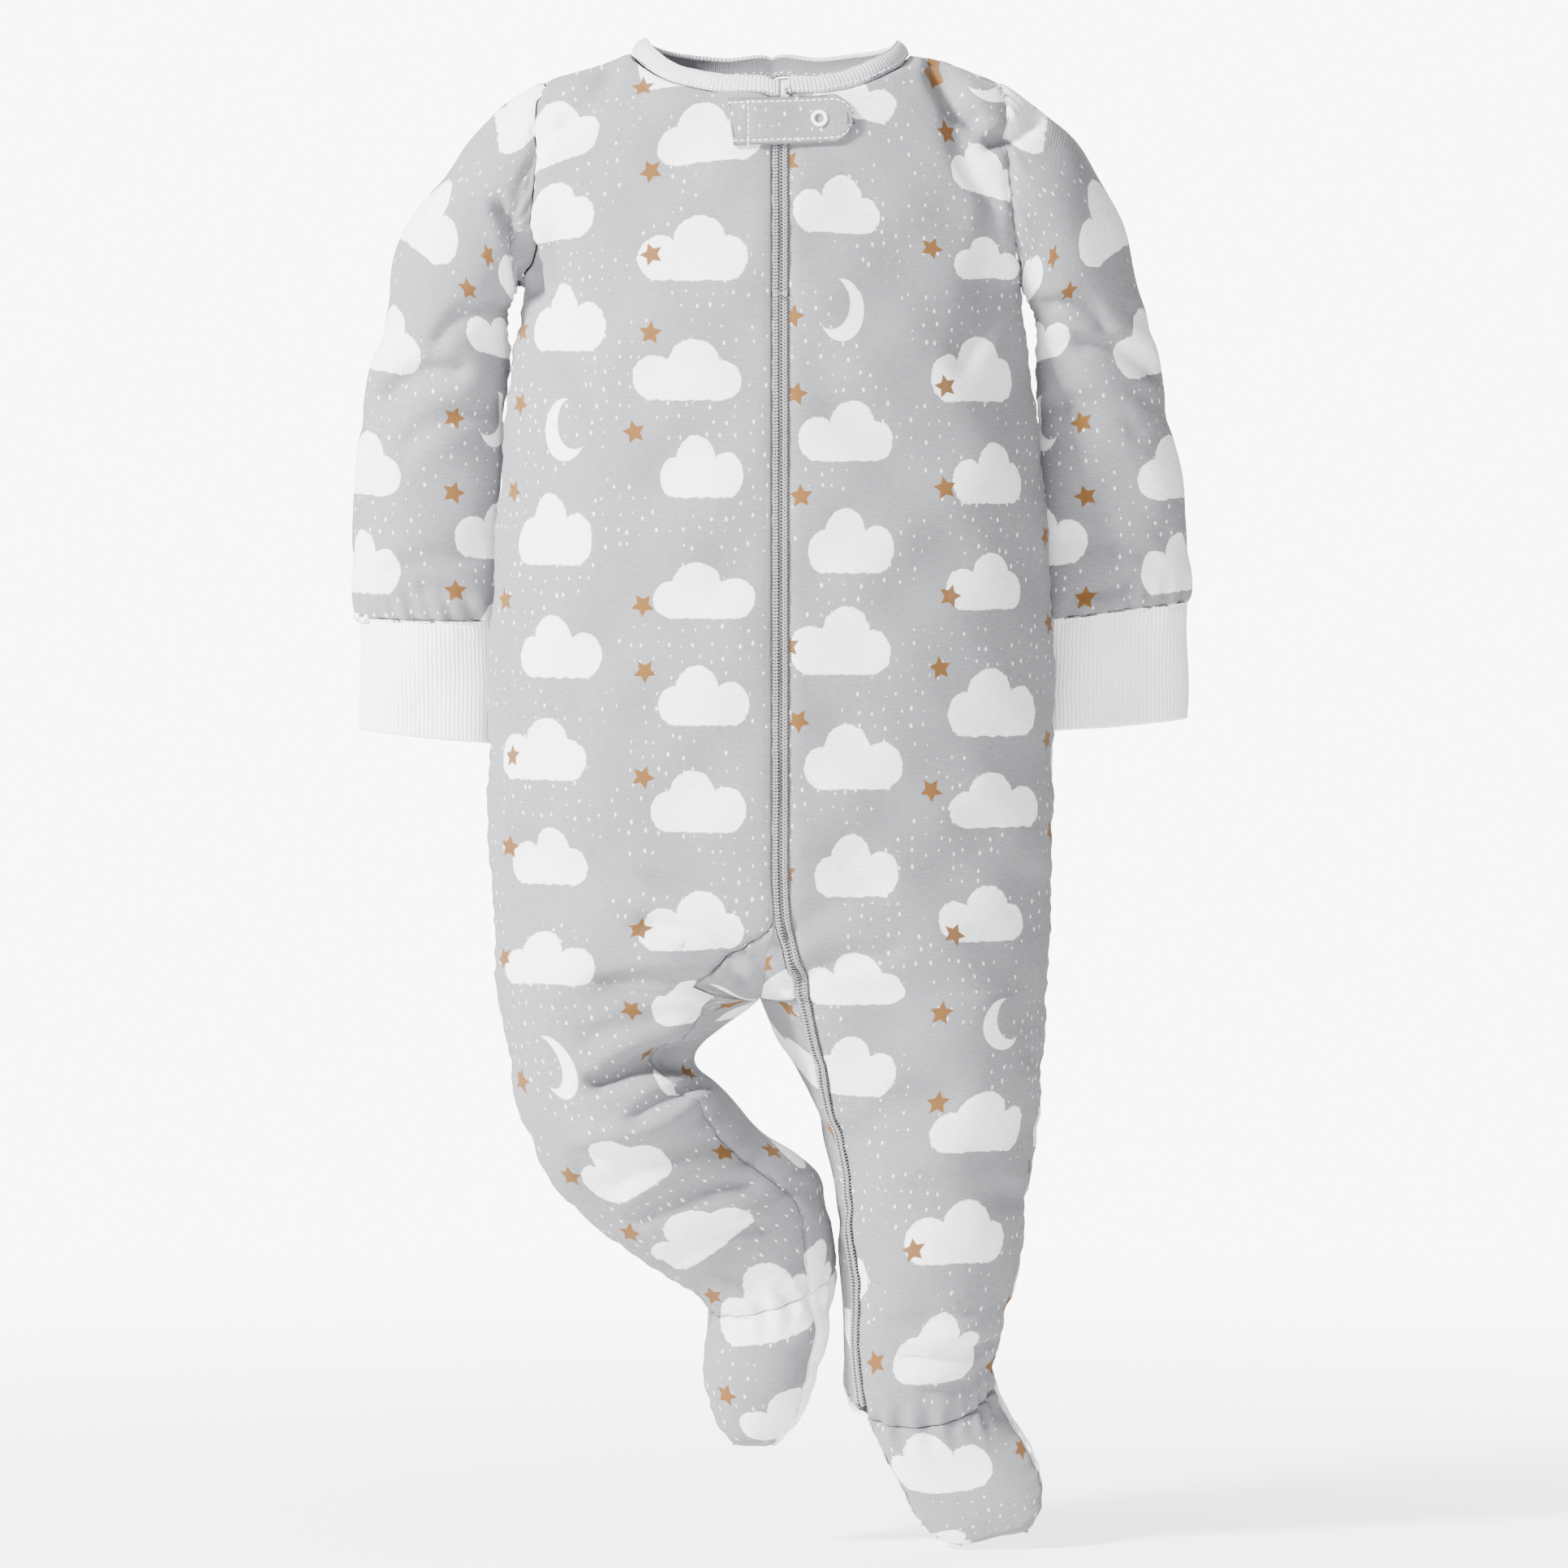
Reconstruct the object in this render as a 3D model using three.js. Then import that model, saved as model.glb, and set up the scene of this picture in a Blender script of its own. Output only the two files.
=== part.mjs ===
// Footed baby sleepsuit, size 0 to 3 months, filled out with no wearer: the right leg bent at the knee, the
// left leg straight, and a zip from the neck down the inside of the left leg. Millimetres, +Z up. The front
// faces -Y and the wearer's left is +X. The origin is in the middle of the neck at shoulder height.
import * as THREE from 'three';

// Thickness of the cloth and the gap that is left at every seam
const JERSEY = 1.2;
const RIB = 2.0;
const SEAM_GAP = 0.3;

// Zip: its place beside the centre line, the opening between the fronts, and the parts in that opening.
// Depths are measured inward from the outer face of the fronts.
const ZIP_X = 3.5;
const ZIP_OPENING = 6.8;
const TAPE = { start: 4.2, end: 27.8, from: 0.15, to: 5.5, shallow: 1.8, deep: 2.5 };
const COIL = { start: 5.15, end: 27.85, from: 0.85, to: 2.95, shallow: -0.2, deep: 1.5, bevel: 0.5 };
const SLIDER = { start: 4.5, end: 5.08, halfWidth: 2.9, shallow: 0, deep: 1.5 };
const ZIP_STEP = 1;

// Snap tab over the top of the zip: a strip that lies on the fronts, with a slanted left end and a right
// end whose corners are rounded
const TAB = { left: -17.0, slant: 2.6, right: 30.5, top: -13.6, rise: 0.035, height: 18.2, corner: 8 };
const TAB_THICK = 2.0;
const TAB_COLUMNS = 14;
const TAB_ROWS = 6;
const TAB_LIFT = 0.5;
const TAB_BUNCH = 1.15;
const SNAP = { x: 18.3, z: -21.2, outer: 3.2, inner: 1.9, thick: 0.9, segments: 24 };

// Numbers of the rows that end one part of the body and start the next
const NECK_ROW = 4;
const UNDERARM = 9;
const APEX = 16;
const CROTCH = 20;
const ANKLE = 28;
const TOE = 34;

// Columns of each panel in one row of one half, and the share of the foot's side that carries on the zip
const CENTRE_X = 0.1;
const PANEL_COLUMNS = 11;
const GUSSET_COLUMNS = 2;
const SLIT_SHARE = 0.63;

// Two points closer than this are one point, the steps that walk a half turn round a section, and the
// halvings that find a row
const SAME_PLACE = 0.001;
const WALK_STEPS = 720;
const HALVINGS = 40;

// At a panel's edge: the least cosine between the ways its two edges are drawn back, the least sine between
// that way and the cloth beside it, the tilt under which both walls share one direction, and the least
// cosine between that direction and the panel's own
const EDGE = { corner: 0.5, steep: 0.35, flat: 0.25, lean: 0.5 };

// Yoke, from the shoulder seam down to the underarm. mid and edge are heights at the centre line and at
// the armhole, from and to are the neckline's and the armhole's distances from the centre line, deep is how
// far the row stands out in the middle, and share is how much of that is left at the armhole.
const FRONT_YOKE = [
  { mid: 10.9, edge: -6.0, from: 54.0, to: 87.0, deep: 0.0, share: 0.5 },
  { mid: 2.7, edge: -7.9, from: 49.9, to: 88.0, deep: 17.4, share: 0.47 },
  { mid: -5.3, edge: -13.4, from: 38.0, to: 90.0, deep: 30.0, share: 0.52 },
  { mid: -10.4, edge: -22.1, from: 20.2, to: 91.0, deep: 36.9, share: 0.575 },
  { mid: -12.5, edge: -33.0, from: 0.0, to: 91.0, deep: 39.2, share: 0.626 },
  { mid: -27.0, edge: -45.0, from: 0.0, to: 91.5, deep: 41.4, share: 0.62 },
  { mid: -43.0, edge: -57.0, from: 0.0, to: 92.5, deep: 44.0, share: 0.56 },
  { mid: -59.0, edge: -70.0, from: 0.0, to: 94.0, deep: 46.0, share: 0.435 },
  { mid: -75.0, edge: -80.3, from: 0.0, to: 96.5, deep: 47.5, share: 0.23 },
  { mid: -88.0, edge: -85.0, from: 0.0, to: 96.0, deep: 49.0, share: 0.0 },
];
const BACK_MIDS = [10.9, 5.7, 0, -4.2, -6, -20, -37, -55, -73, -88];
const BACK_DEPTHS = [0, 16.4, 28, 34.6, 37.5, 39.8, 42, 44, 45.5, 46];
const BACK_YOKE = FRONT_YOKE.map((row, i) => ({ ...row, mid: BACK_MIDS[i], deep: BACK_DEPTHS[i] }));

// Body from the underarm to the waist and hips. full squares the section's corners a little.
const TORSO = [
  { z: -87.0, half: 96.0, front: 49, back: 46, full: 0.0 },
  { z: -115.7, half: 99.3, front: 51, back: 46, full: 0.02 },
  { z: -150.0, half: 104.1, front: 53, back: 46, full: 0.04 },
  { z: -194.0, half: 107.8, front: 55, back: 48, full: 0.04 },
  { z: -240.0, half: 109.3, front: 55, back: 52, full: 0.04 },
  { z: -285.0, half: 109.7, front: 53, back: 57, full: 0.04 },
  { z: -311.0, half: 108.8, front: 51, back: 58, full: 0.02 },
];

// Rows between the hips and the crotch, where one tube turns into two. x and z are the place of the middle
// seam, over is how far a leg's own curve would still run past it, and straight and bent are the heights of
// the row at the outside of each leg.
const FORK = [
  { x: 1.2, z: -328.0, over: 70, outer: 107.5, front: 50, back: 57, full: 0.02, straight: -328, bent: -326 },
  { x: -2.0, z: -342.0, over: 38, outer: 107.5, front: 49, back: 55, full: 0.03, straight: -340, bent: -335 },
  { x: -3.0, z: -352.0, over: 18, outer: 107.4, front: 48, back: 52, full: 0.05, straight: -348, bent: -342 },
  { x: -4.0, z: -358.0, over: 6, outer: 107.1, front: 47, back: 50, full: 0.08, straight: -354, bent: -347 },
];
const FORK_ZIP = [4.6, 8.0, 10.5, 11.6];
const FORK_STRIP = [0, 12, 24, 33];

// Left leg, straight, from the crotch to the toe. inner and outer are the distances of its two sides from
// the centre line, mid is the middle from front to back, pitch tips the row so that its front is lower, zip
// is the zip's place, and seam is where the front's inner seam runs, in degrees round the leg.
const STRAIGHT_LEG = [
  { inner: -4.5, zInner: -360.2, outer: 106.2, zOuter: -357.1, mid: -1, front: 46, back: 48, zip: 12.2,
    full: 0.12 },
  { inner: 3.9, zInner: -376.8, outer: 104.9, zOuter: -376.8, mid: 0, front: 44, back: 46, zip: 16.2,
    full: 0.1 },
  { inner: 13.0, zInner: -394.0, outer: 103.7, zOuter: -394.0, mid: 0, front: 41, back: 42, zip: 20.5,
    full: 0.06 },
  { inner: 19.6, zInner: -412.8, outer: 101.8, zOuter: -412.8, mid: 0, front: 38, back: 39, zip: 24.6 },
  { inner: 23.3, zInner: -431.5, outer: 99.6, zOuter: -431.5, mid: 0, front: 36, back: 36, zip: 27.9 },
  { inner: 26.1, zInner: -453.4, outer: 97.4, zOuter: -453.4, mid: 0, front: 34, back: 34, zip: 29.5 },
  { inner: 27.4, zInner: -475.3, outer: 93.1, zOuter: -475.3,
    mid: 0, front: 31, back: 31, zip: 30.4, pitch: 8 },
  { inner: 28.0, zInner: -494.0, outer: 88.4, zOuter: -492.5, mid: 0, front: 28, back: 29, zip: 31.4, pitch: 20,
    seam: 37 },
  { inner: 29.9, zInner: -513.4, outer: 86.8, zOuter: -507.5, mid: 0, front: 26, back: 27, zip: 34.3, pitch: 33,
    seam: 39.7 },
  { inner: 36.8, zInner: -527.8, outer: 91.5, zOuter: -520.6, mid: -4, front: 24, back: 30, pitch: 38, seam: 37,
    zip: 40.3 },
  { inner: 44.3, zInner: -541.6, outer: 97.4, zOuter: -531.0,
    mid: -9, front: 20, back: 24, pitch: 40, seam: 38.3 },
  { inner: 50.5, zInner: -553.5, outer: 103.1, zOuter: -541.6,
    mid: -14, front: 17, back: 20, pitch: 42, seam: 34 },
  { inner: 57.7, zInner: -562.4, outer: 104.6, zOuter: -551.3,
    mid: -18, front: 12, back: 14, pitch: 38, seam: 32 },
  { inner: 66.7, zInner: -567.0, outer: 101.8, zOuter: -559.1,
    mid: -21, front: 7, back: 8, pitch: 28, seam: 34 },
  { inner: 73.0, zInner: -569.6, outer: 98.0, zOuter: -564.4,
    mid: -24.3, front: 0, back: 0, pitch: 28, seam: 33 },
];

// Right leg, bent: it goes out to the knee and comes back in, so that its foot hangs under the crotch.
// strip is the width of the back piece that is wrapped round to the front of the inner leg.
const BENT_LEG = [
  { inner: 4.5, zInner: -360.2, outer: 107.1, zOuter: -350.2, mid: -1, front: 46, back: 48, strip: 40,
    full: 0.12 },
  { inner: 17.9, zInner: -370.2, outer: 104.3, zOuter: -374.6, mid: -6, front: 43, back: 44, strip: 36,
    full: 0.08 },
  { inner: 26.4, zInner: -377.1, outer: 99.6, zOuter: -395.6, mid: -12, front: 40, back: 40, strip: 33 },
  { inner: 27.3, zInner: -384.0, outer: 90.2, zOuter: -419.0, mid: -16, front: 37, back: 36, strip: 30 },
  { inner: 20.5, zInner: -391.8, outer: 78.3, zOuter: -437.2, mid: -15, front: 35, back: 35, strip: 28 },
  { inner: 6.4, zInner: -407.5, outer: 61.1, zOuter: -452.8, mid: -10, front: 33, back: 34, strip: 28 },
  { inner: -10.8, zInner: -420.6, outer: 46.1, zOuter: -464.3, mid: -5, front: 31, back: 32, strip: 28 },
  { inner: -21.1, zInner: -433.1, outer: 34.5, zOuter: -472.5,
    mid: 0, front: 28, back: 29, strip: 26, seam: 52 },
  { inner: -24.3, zInner: -465.9, outer: 25.8, zOuter: -479.0, mid: 2, front: 24.5, back: 26, strip: 22, pitch: 17,
    seam: 51 },
  { inner: -23.3, zInner: -481.6, outer: 26.4, zOuter: -487.8,
    mid: 0, front: 23, back: 28, pitch: 18, seam: 40 },
  { inner: -19.6, zInner: -497.8, outer: 26.7, zOuter: -498.7,
    mid: -3, front: 22, back: 25, pitch: 20, seam: 38 },
  { inner: -15.5, zInner: -510.3, outer: 25.8, zOuter: -509.7,
    mid: -6, front: 19, back: 21, pitch: 22, seam: 36 },
  { inner: -10.2, zInner: -521.6, outer: 22.0, zOuter: -521.6,
    mid: -9, front: 14, back: 15, pitch: 25, seam: 35 },
  { inner: -4.6, zInner: -527.9, outer: 16.7, zOuter: -528.5,
    mid: -11, front: 8, back: 9, pitch: 20, seam: 33 },
  { inner: -1.4, zInner: -531.9, outer: 13.8, zOuter: -531.9,
    mid: -13.5, front: 0, back: 0, pitch: 20, seam: 33 },
];

// Sleeve rings below the armhole, and the rings of the cuff below them. outer and inner are the distances
// of the two sides from the centre line, mid is the middle from front to back and deep half the depth.
const RIGHT_SLEEVE = [
  { outer: 96.7, zOuter: -12.5, inner: 97.0, zInner: -86, mid: 0, deep: 27 },
  { outer: 113.6, zOuter: -26.6, inner: 97.5, zInner: -88, mid: 1, deep: 27.5 },
  { outer: 127.4, zOuter: -42.8, inner: 99.0, zInner: -91, mid: 2, deep: 27 },
  { outer: 138.3, zOuter: -59.4, inner: 100.5, zInner: -95, mid: 4, deep: 26 },
  { outer: 144.6, zOuter: -75.7, inner: 101.0, zInner: -101, mid: 7, deep: 25 },
  { outer: 148.7, zOuter: -92.2, inner: 101.5, zInner: -110, mid: 10, deep: 24 },
  { outer: 152.4, zOuter: -108.8, inner: 101.5, zInner: -122, mid: 13, deep: 23.2 },
  { outer: 156.5, zOuter: -125.0, inner: 102.0, zInner: -135, mid: 16, deep: 22.5 },
  { outer: 160.2, zOuter: -147.0, inner: 102.0, zInner: -154, mid: 18.5, deep: 21.8 },
  { outer: 162.4, zOuter: -175.1, inner: 102.0, zInner: -179, mid: 21, deep: 21 },
  { outer: 163.7, zOuter: -200.1, inner: 102.0, zInner: -202, mid: 23, deep: 20 },
  { outer: 162.1, zOuter: -214.2, inner: 102.0, zInner: -215.1, mid: 24, deep: 19.5 },
];
const RIGHT_CUFF = [
  { outer: 160.8, zOuter: -219.0, inner: 102.6, zInner: -220, mid: 24, deep: 18.8 },
  { outer: 160.3, zOuter: -240.0, inner: 102.5, zInner: -242, mid: 24, deep: 18.6 },
  { outer: 160.3, zOuter: -257.4, inner: 102.8, zInner: -263, mid: 24, deep: 18.5 },
];
// The left sleeve hangs a little closer to the body and its cuff sits higher
const LEFT_SLEEVE_SIDE = [96.7, 113.6, 125.0, 133.1, 139.2, 143.2, 147.4, 151.2, 156.2, 160.9, 162.5, 162.1];
const LEFT_SLEEVE = RIGHT_SLEEVE.map((row, i) => ({ ...row, outer: LEFT_SLEEVE_SIDE[i] }));
LEFT_SLEEVE[10].zOuter = -195.5;
LEFT_SLEEVE[11].zOuter = -207.3;
const LEFT_CUFF = [
  { outer: 161.2, zOuter: -212.0, inner: 102.6, zInner: -219.5, mid: 24, deep: 18.8 },
  { outer: 161.0, zOuter: -232.0, inner: 102.5, zInner: -238, mid: 24, deep: 18.6 },
  { outer: 160.8, zOuter: -253.3, inner: 102.8, zInner: -258, mid: 24, deep: 18.5 },
];
// Where each yoke row meets the sleeve, in degrees from the top of the sleeve towards the underarm
const ARMHOLE_ANGLES = [0, 18, 36, 54, 72, 90, 108, 130, 155, 180];

// Neckband: how far its free edge stands in from the neckline and above it, at the shoulder and the centre
const BAND_SHOULDER = { inward: 6.3, up: 5.6 };
const BAND_FRONT = { inward: 4.5, up: 6.5 };
const BAND_BACK = { inward: 1.5, up: 8.5 };
const BAND_ROWS = 2;
const BAND_ROUND = 0.9;
const BAND_END = 0.01;

// Largest folds: troughs (positive depth) and ridges (negative depth) on the front or on the back, each
// from one place (x, z) to another, with its half width and its depth
const FOLDS = [
  { face: 'front', x1: -27, z1: -382, x2: -64, z2: -388, width: 9, depth: 5.0 },
  { face: 'front', x1: -30, z1: -396, x2: -66, z2: -408, width: 8, depth: -2.0 },
  { face: 'front', x1: -14, z1: -344, x2: -46, z2: -329, width: 8, depth: 3.2 },
  { face: 'front', x1: -22, z1: -356, x2: -62, z2: -352, width: 9, depth: 2.4 },
  { face: 'front', x1: 62, z1: 6, x2: 77, z2: -20, width: 9, depth: 3.4 },
  { face: 'front', x1: 86, z1: -30, x2: 103, z2: -18, width: 7, depth: 2.4 },
  { face: 'front', x1: -104, z1: -56, x2: -94, z2: -86, width: 7, depth: 3.4 },
  { face: 'front', x1: -122, z1: -118, x2: -150, z2: -128, width: 8, depth: 2.2 },
  { face: 'front', x1: 120, z1: -108, x2: 148, z2: -118, width: 8, depth: 2.2 },
  { face: 'front', x1: -10, z1: -430, x2: -52, z2: -444, width: 7, depth: 2.2 },
  { face: 'front', x1: 52, z1: -497, x2: 84, z2: -492, width: 7, depth: 2.0 },
  { face: 'back', x1: -70, z1: -196, x2: 40, z2: -214, width: 13, depth: 3.0 },
  { face: 'back', x1: 78, z1: -232, x2: -20, z2: -252, width: 12, depth: 2.6 },
  { face: 'back', x1: -66, z1: -344, x2: -12, z2: -352, width: 10, depth: 3.6 },
  { face: 'back', x1: 14, z1: -352, x2: 78, z2: -344, width: 10, depth: 3.6 },
  { face: 'back', x1: -34, z1: -386, x2: -88, z2: -396, width: 9, depth: 3.4 },
  { face: 'back', x1: 34, z1: -430, x2: 90, z2: -438, width: 9, depth: 3.0 },
  { face: 'back', x1: 30, z1: -456, x2: 84, z2: -448, width: 8, depth: 2.4 },
  { face: 'back', x1: -114, z1: -116, x2: -150, z2: -106, width: 9, depth: 2.6 },
  { face: 'back', x1: 112, z1: -112, x2: 146, z2: -102, width: 9, depth: 2.6 },
];
// How squarely the cloth must face a fold's side for it to start and to be full, and how much faster a fold
// fades past its ends than to its sides
const FOLD_FACING = { start: 0.12, full: 0.5 };
const FOLD_END = 1.2;

const JERSEY_MATERIAL = { color: 0xc9c9ca, roughness: 0.95, metalness: 0 };
const RIB_MATERIAL = { color: 0xeeeef1, roughness: 0.95, metalness: 0 };
const BAND_MATERIAL = { color: 0xdcdce0, roughness: 0.95, metalness: 0 };
const TAPE_MATERIAL = { color: 0xb0b0b2, roughness: 0.85, metalness: 0 };
const COIL_MATERIAL = { color: 0xbebebf, roughness: 0.55, metalness: 0 };
const SNAP_MATERIAL = { color: 0xf0f0ee, roughness: 0.35, metalness: 0 };

// One row between the rows of a table, on a smooth curve through each named column
function sample(table, position) {
  const last = table.length - 1;
  const index = Math.min(Math.max(Math.floor(position), 0), last - 1);
  const t = position - index;
  const near = [index - 1, index, index + 1, index + 2].map((i) => table[Math.min(Math.max(i, 0), last)]);
  const row = {};
  for (const name of Object.keys(near[1])) {
    const [a, b, c, d] = near.map((entry) => entry[name]);
    const cubic = 3 * (b - c) + d - a;
    row[name] = b + 0.5 * t * (c - a + t * (2 * a - 5 * b + 4 * c - d + t * cubic));
  }
  return row;
}

// All rows of one half from the underarm to the toe, in one table
function bodyRows(side, leg, outside, strips, zips) {
  const torso = TORSO.map(({ z, half, front, back, full }) => ({
    inner: side * CENTRE_X, zInner: z, outer: half, zOuter: z, over: half + side * CENTRE_X, front, back, full,
    zip: ZIP_X,
  }));
  const fork = FORK.map((row, i) => ({
    inner: side * row.x, zInner: row.z, outer: row.outer, zOuter: row[outside], over: row.over, front: row.front,
    back: row.back, full: row.full, strip: strips[i], zip: zips[i],
  }));
  const plain = { over: 0, mid: 0, full: 0, pitch: 0, seam: 0, strip: 0, zip: 0 };
  return [...torso, ...fork, ...leg].map((row) => ({ ...plain, ...row }));
}

const LEFT = {
  side: 1, name: 'left', zipped: true, sleeve: LEFT_SLEEVE, cuff: LEFT_CUFF,
  rows: bodyRows(1, STRAIGHT_LEG, 'straight', [0, 0, 0, 0], FORK_ZIP),
};
const RIGHT = {
  side: -1, name: 'right', zipped: false, sleeve: RIGHT_SLEEVE, cuff: RIGHT_CUFF,
  rows: bodyRows(-1, BENT_LEG, 'bent', FORK_STRIP, [0, 0, 0, 0]),
};

// The cloth's section at a row of one half: an ellipse seen from above, walked by an angle that is 0 at the
// inner side, a quarter turn in front, a half turn at the outer side and three quarters behind
function section(half, position, face) {
  if (position < UNDERARM) {
    const row = sample(face === 'front' ? FRONT_YOKE : BACK_YOKE, position);
    const radius = row.to / Math.sqrt(1 - row.share ** 2);
    const at = (angle) => {
      const across = -radius * Math.cos(angle);
      const height = row.mid + (row.edge - row.mid) * (across / row.to) ** 2;
      return new THREE.Vector3(half.side * across, -row.deep * Math.sin(angle), height);
    };
    return { row, radius, centre: 0, depth: row.deep, at };
  }
  const row = sample(half.rows, position - UNDERARM);
  const over = Math.max(row.over, 0);
  const radius = (row.outer - row.inner + over) / 2;
  const centre = row.outer - radius;
  const pitch = THREE.MathUtils.degToRad(row.pitch);
  const at = (angle) => {
    const across = centre - radius * Math.cos(angle);
    const depth = Math.sin(angle) >= 0 ? row.front : row.back;
    const forward = depth * Math.sin(angle) * (1 + row.full * Math.sin(2 * angle) ** 2);
    const share = (across - row.inner) / (row.outer - row.inner);
    const height = row.zInner + (row.zOuter - row.zInner) * share - forward * Math.sin(pitch);
    return new THREE.Vector3(half.side * across, row.mid - forward * Math.cos(pitch), height);
  };
  return { row, radius, centre, depth: row.front, at };
}

// The angle of a section's front at a distance from the centre line
function angleAcross(shape, across) {
  return Math.acos(THREE.MathUtils.clamp((shape.centre - across) / shape.radius, -1, 1));
}

// The angle of a section's front that lies a length of cloth past a first angle
function angleAlong(shape, first, length) {
  const step = Math.PI / WALK_STEPS;
  let angle = first;
  let walked = 0;
  while (walked < length && angle < Math.PI) {
    walked += shape.at(angle).distanceTo(shape.at(angle + step));
    angle += step;
  }
  return angle;
}

// Millimetres of cloth for each radian round the front of a section
function clothPerRadian(shape, angle) {
  return Math.hypot(shape.radius * Math.sin(angle), shape.depth * Math.cos(angle));
}

function spread(shape, from, to, columns) {
  const points = [];
  for (let i = 0; i <= columns; i += 1) points.push(shape.at(from + ((to - from) * i) / columns));
  return points;
}

// The angle at which a half's section is cut off by the middle seam
function cutAngle(shape) {
  return angleAcross(shape, shape.row.inner);
}

// Where the two halves meet on a row of the body above the crotch
function meetingPoint(position, face) {
  const [left, right] = [LEFT, RIGHT].map((half) => {
    const shape = section(half, position, face);
    const cut = cutAngle(shape);
    return shape.at(face === 'front' ? cut : 2 * Math.PI - cut);
  });
  return left.add(right).multiplyScalar(0.5);
}

// The four strips of cloth of one row of one half: gusset, zip opening, front and back
function rowOfHalf(half, position) {
  const front = section(half, position, 'front');
  const back = section(half, position, 'back');
  if (position < UNDERARM) {
    const open = half.zipped ? ZIP_X + ZIP_OPENING / 2 : -CENTRE_X;
    const inNeck = position < NECK_ROW;
    const start = angleAcross(front, inNeck ? Math.max(front.row.from, open) : open);
    const backStart = angleAcross(back, inNeck ? back.row.from : half.side * CENTRE_X);
    const end = angleAcross(front, front.row.to);
    return {
      gusset: null,
      slit: half.zipped && !inNeck ? spread(front, angleAcross(front, CENTRE_X), start, 1) : null,
      front: spread(front, start, end, PANEL_COLUMNS),
      back: spread(back, 2 * Math.PI - end, 2 * Math.PI - backStart, PANEL_COLUMNS),
    };
  }
  const cut = cutAngle(front);
  let seam = angleAlong(front, cut, front.row.strip);
  let slit = seam;
  if (half.zipped) {
    const zip = angleAcross(front, front.row.zip);
    const reach = ZIP_OPENING / 2 / clothPerRadian(front, zip);
    seam = zip + reach;
    slit = position <= APEX ? cut : Math.max(zip - reach, cut);
  }
  if (position >= ANKLE) {
    seam = THREE.MathUtils.degToRad(front.row.seam);
    slit = half.zipped ? seam * SLIT_SHARE : seam;
  }
  const strips = {
    gusset: position >= APEX ? spread(front, cut, slit, GUSSET_COLUMNS) : null,
    slit: half.zipped ? spread(front, slit, seam, 1) : null,
    front: spread(front, seam, Math.PI, PANEL_COLUMNS),
    back: spread(back, Math.PI, 2 * Math.PI - cut, PANEL_COLUMNS),
  };
  if (position > CROTCH) return strips;
  const atCut = front.at(cut);
  const meeting = meetingPoint(position, 'front');
  for (const strip of [strips.gusset, strips.slit, strips.front]) {
    strip?.forEach((point) => (point.distanceTo(atCut) < SAME_PLACE ? point.copy(meeting) : point));
  }
  strips.back[PANEL_COLUMNS] = meetingPoint(position, 'back');
  return strips;
}

// Rows of the whole body: half steps where the neckline turns and where the torso's rows lie far apart
function rowPositions() {
  const positions = [];
  for (let i = 0; i < TOE; i += 1) {
    positions.push(i);
    if (i < NECK_ROW || (i >= UNDERARM && i < APEX - 1)) positions.push(i + 0.5);
  }
  positions.push(TOE);
  return positions;
}

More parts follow.
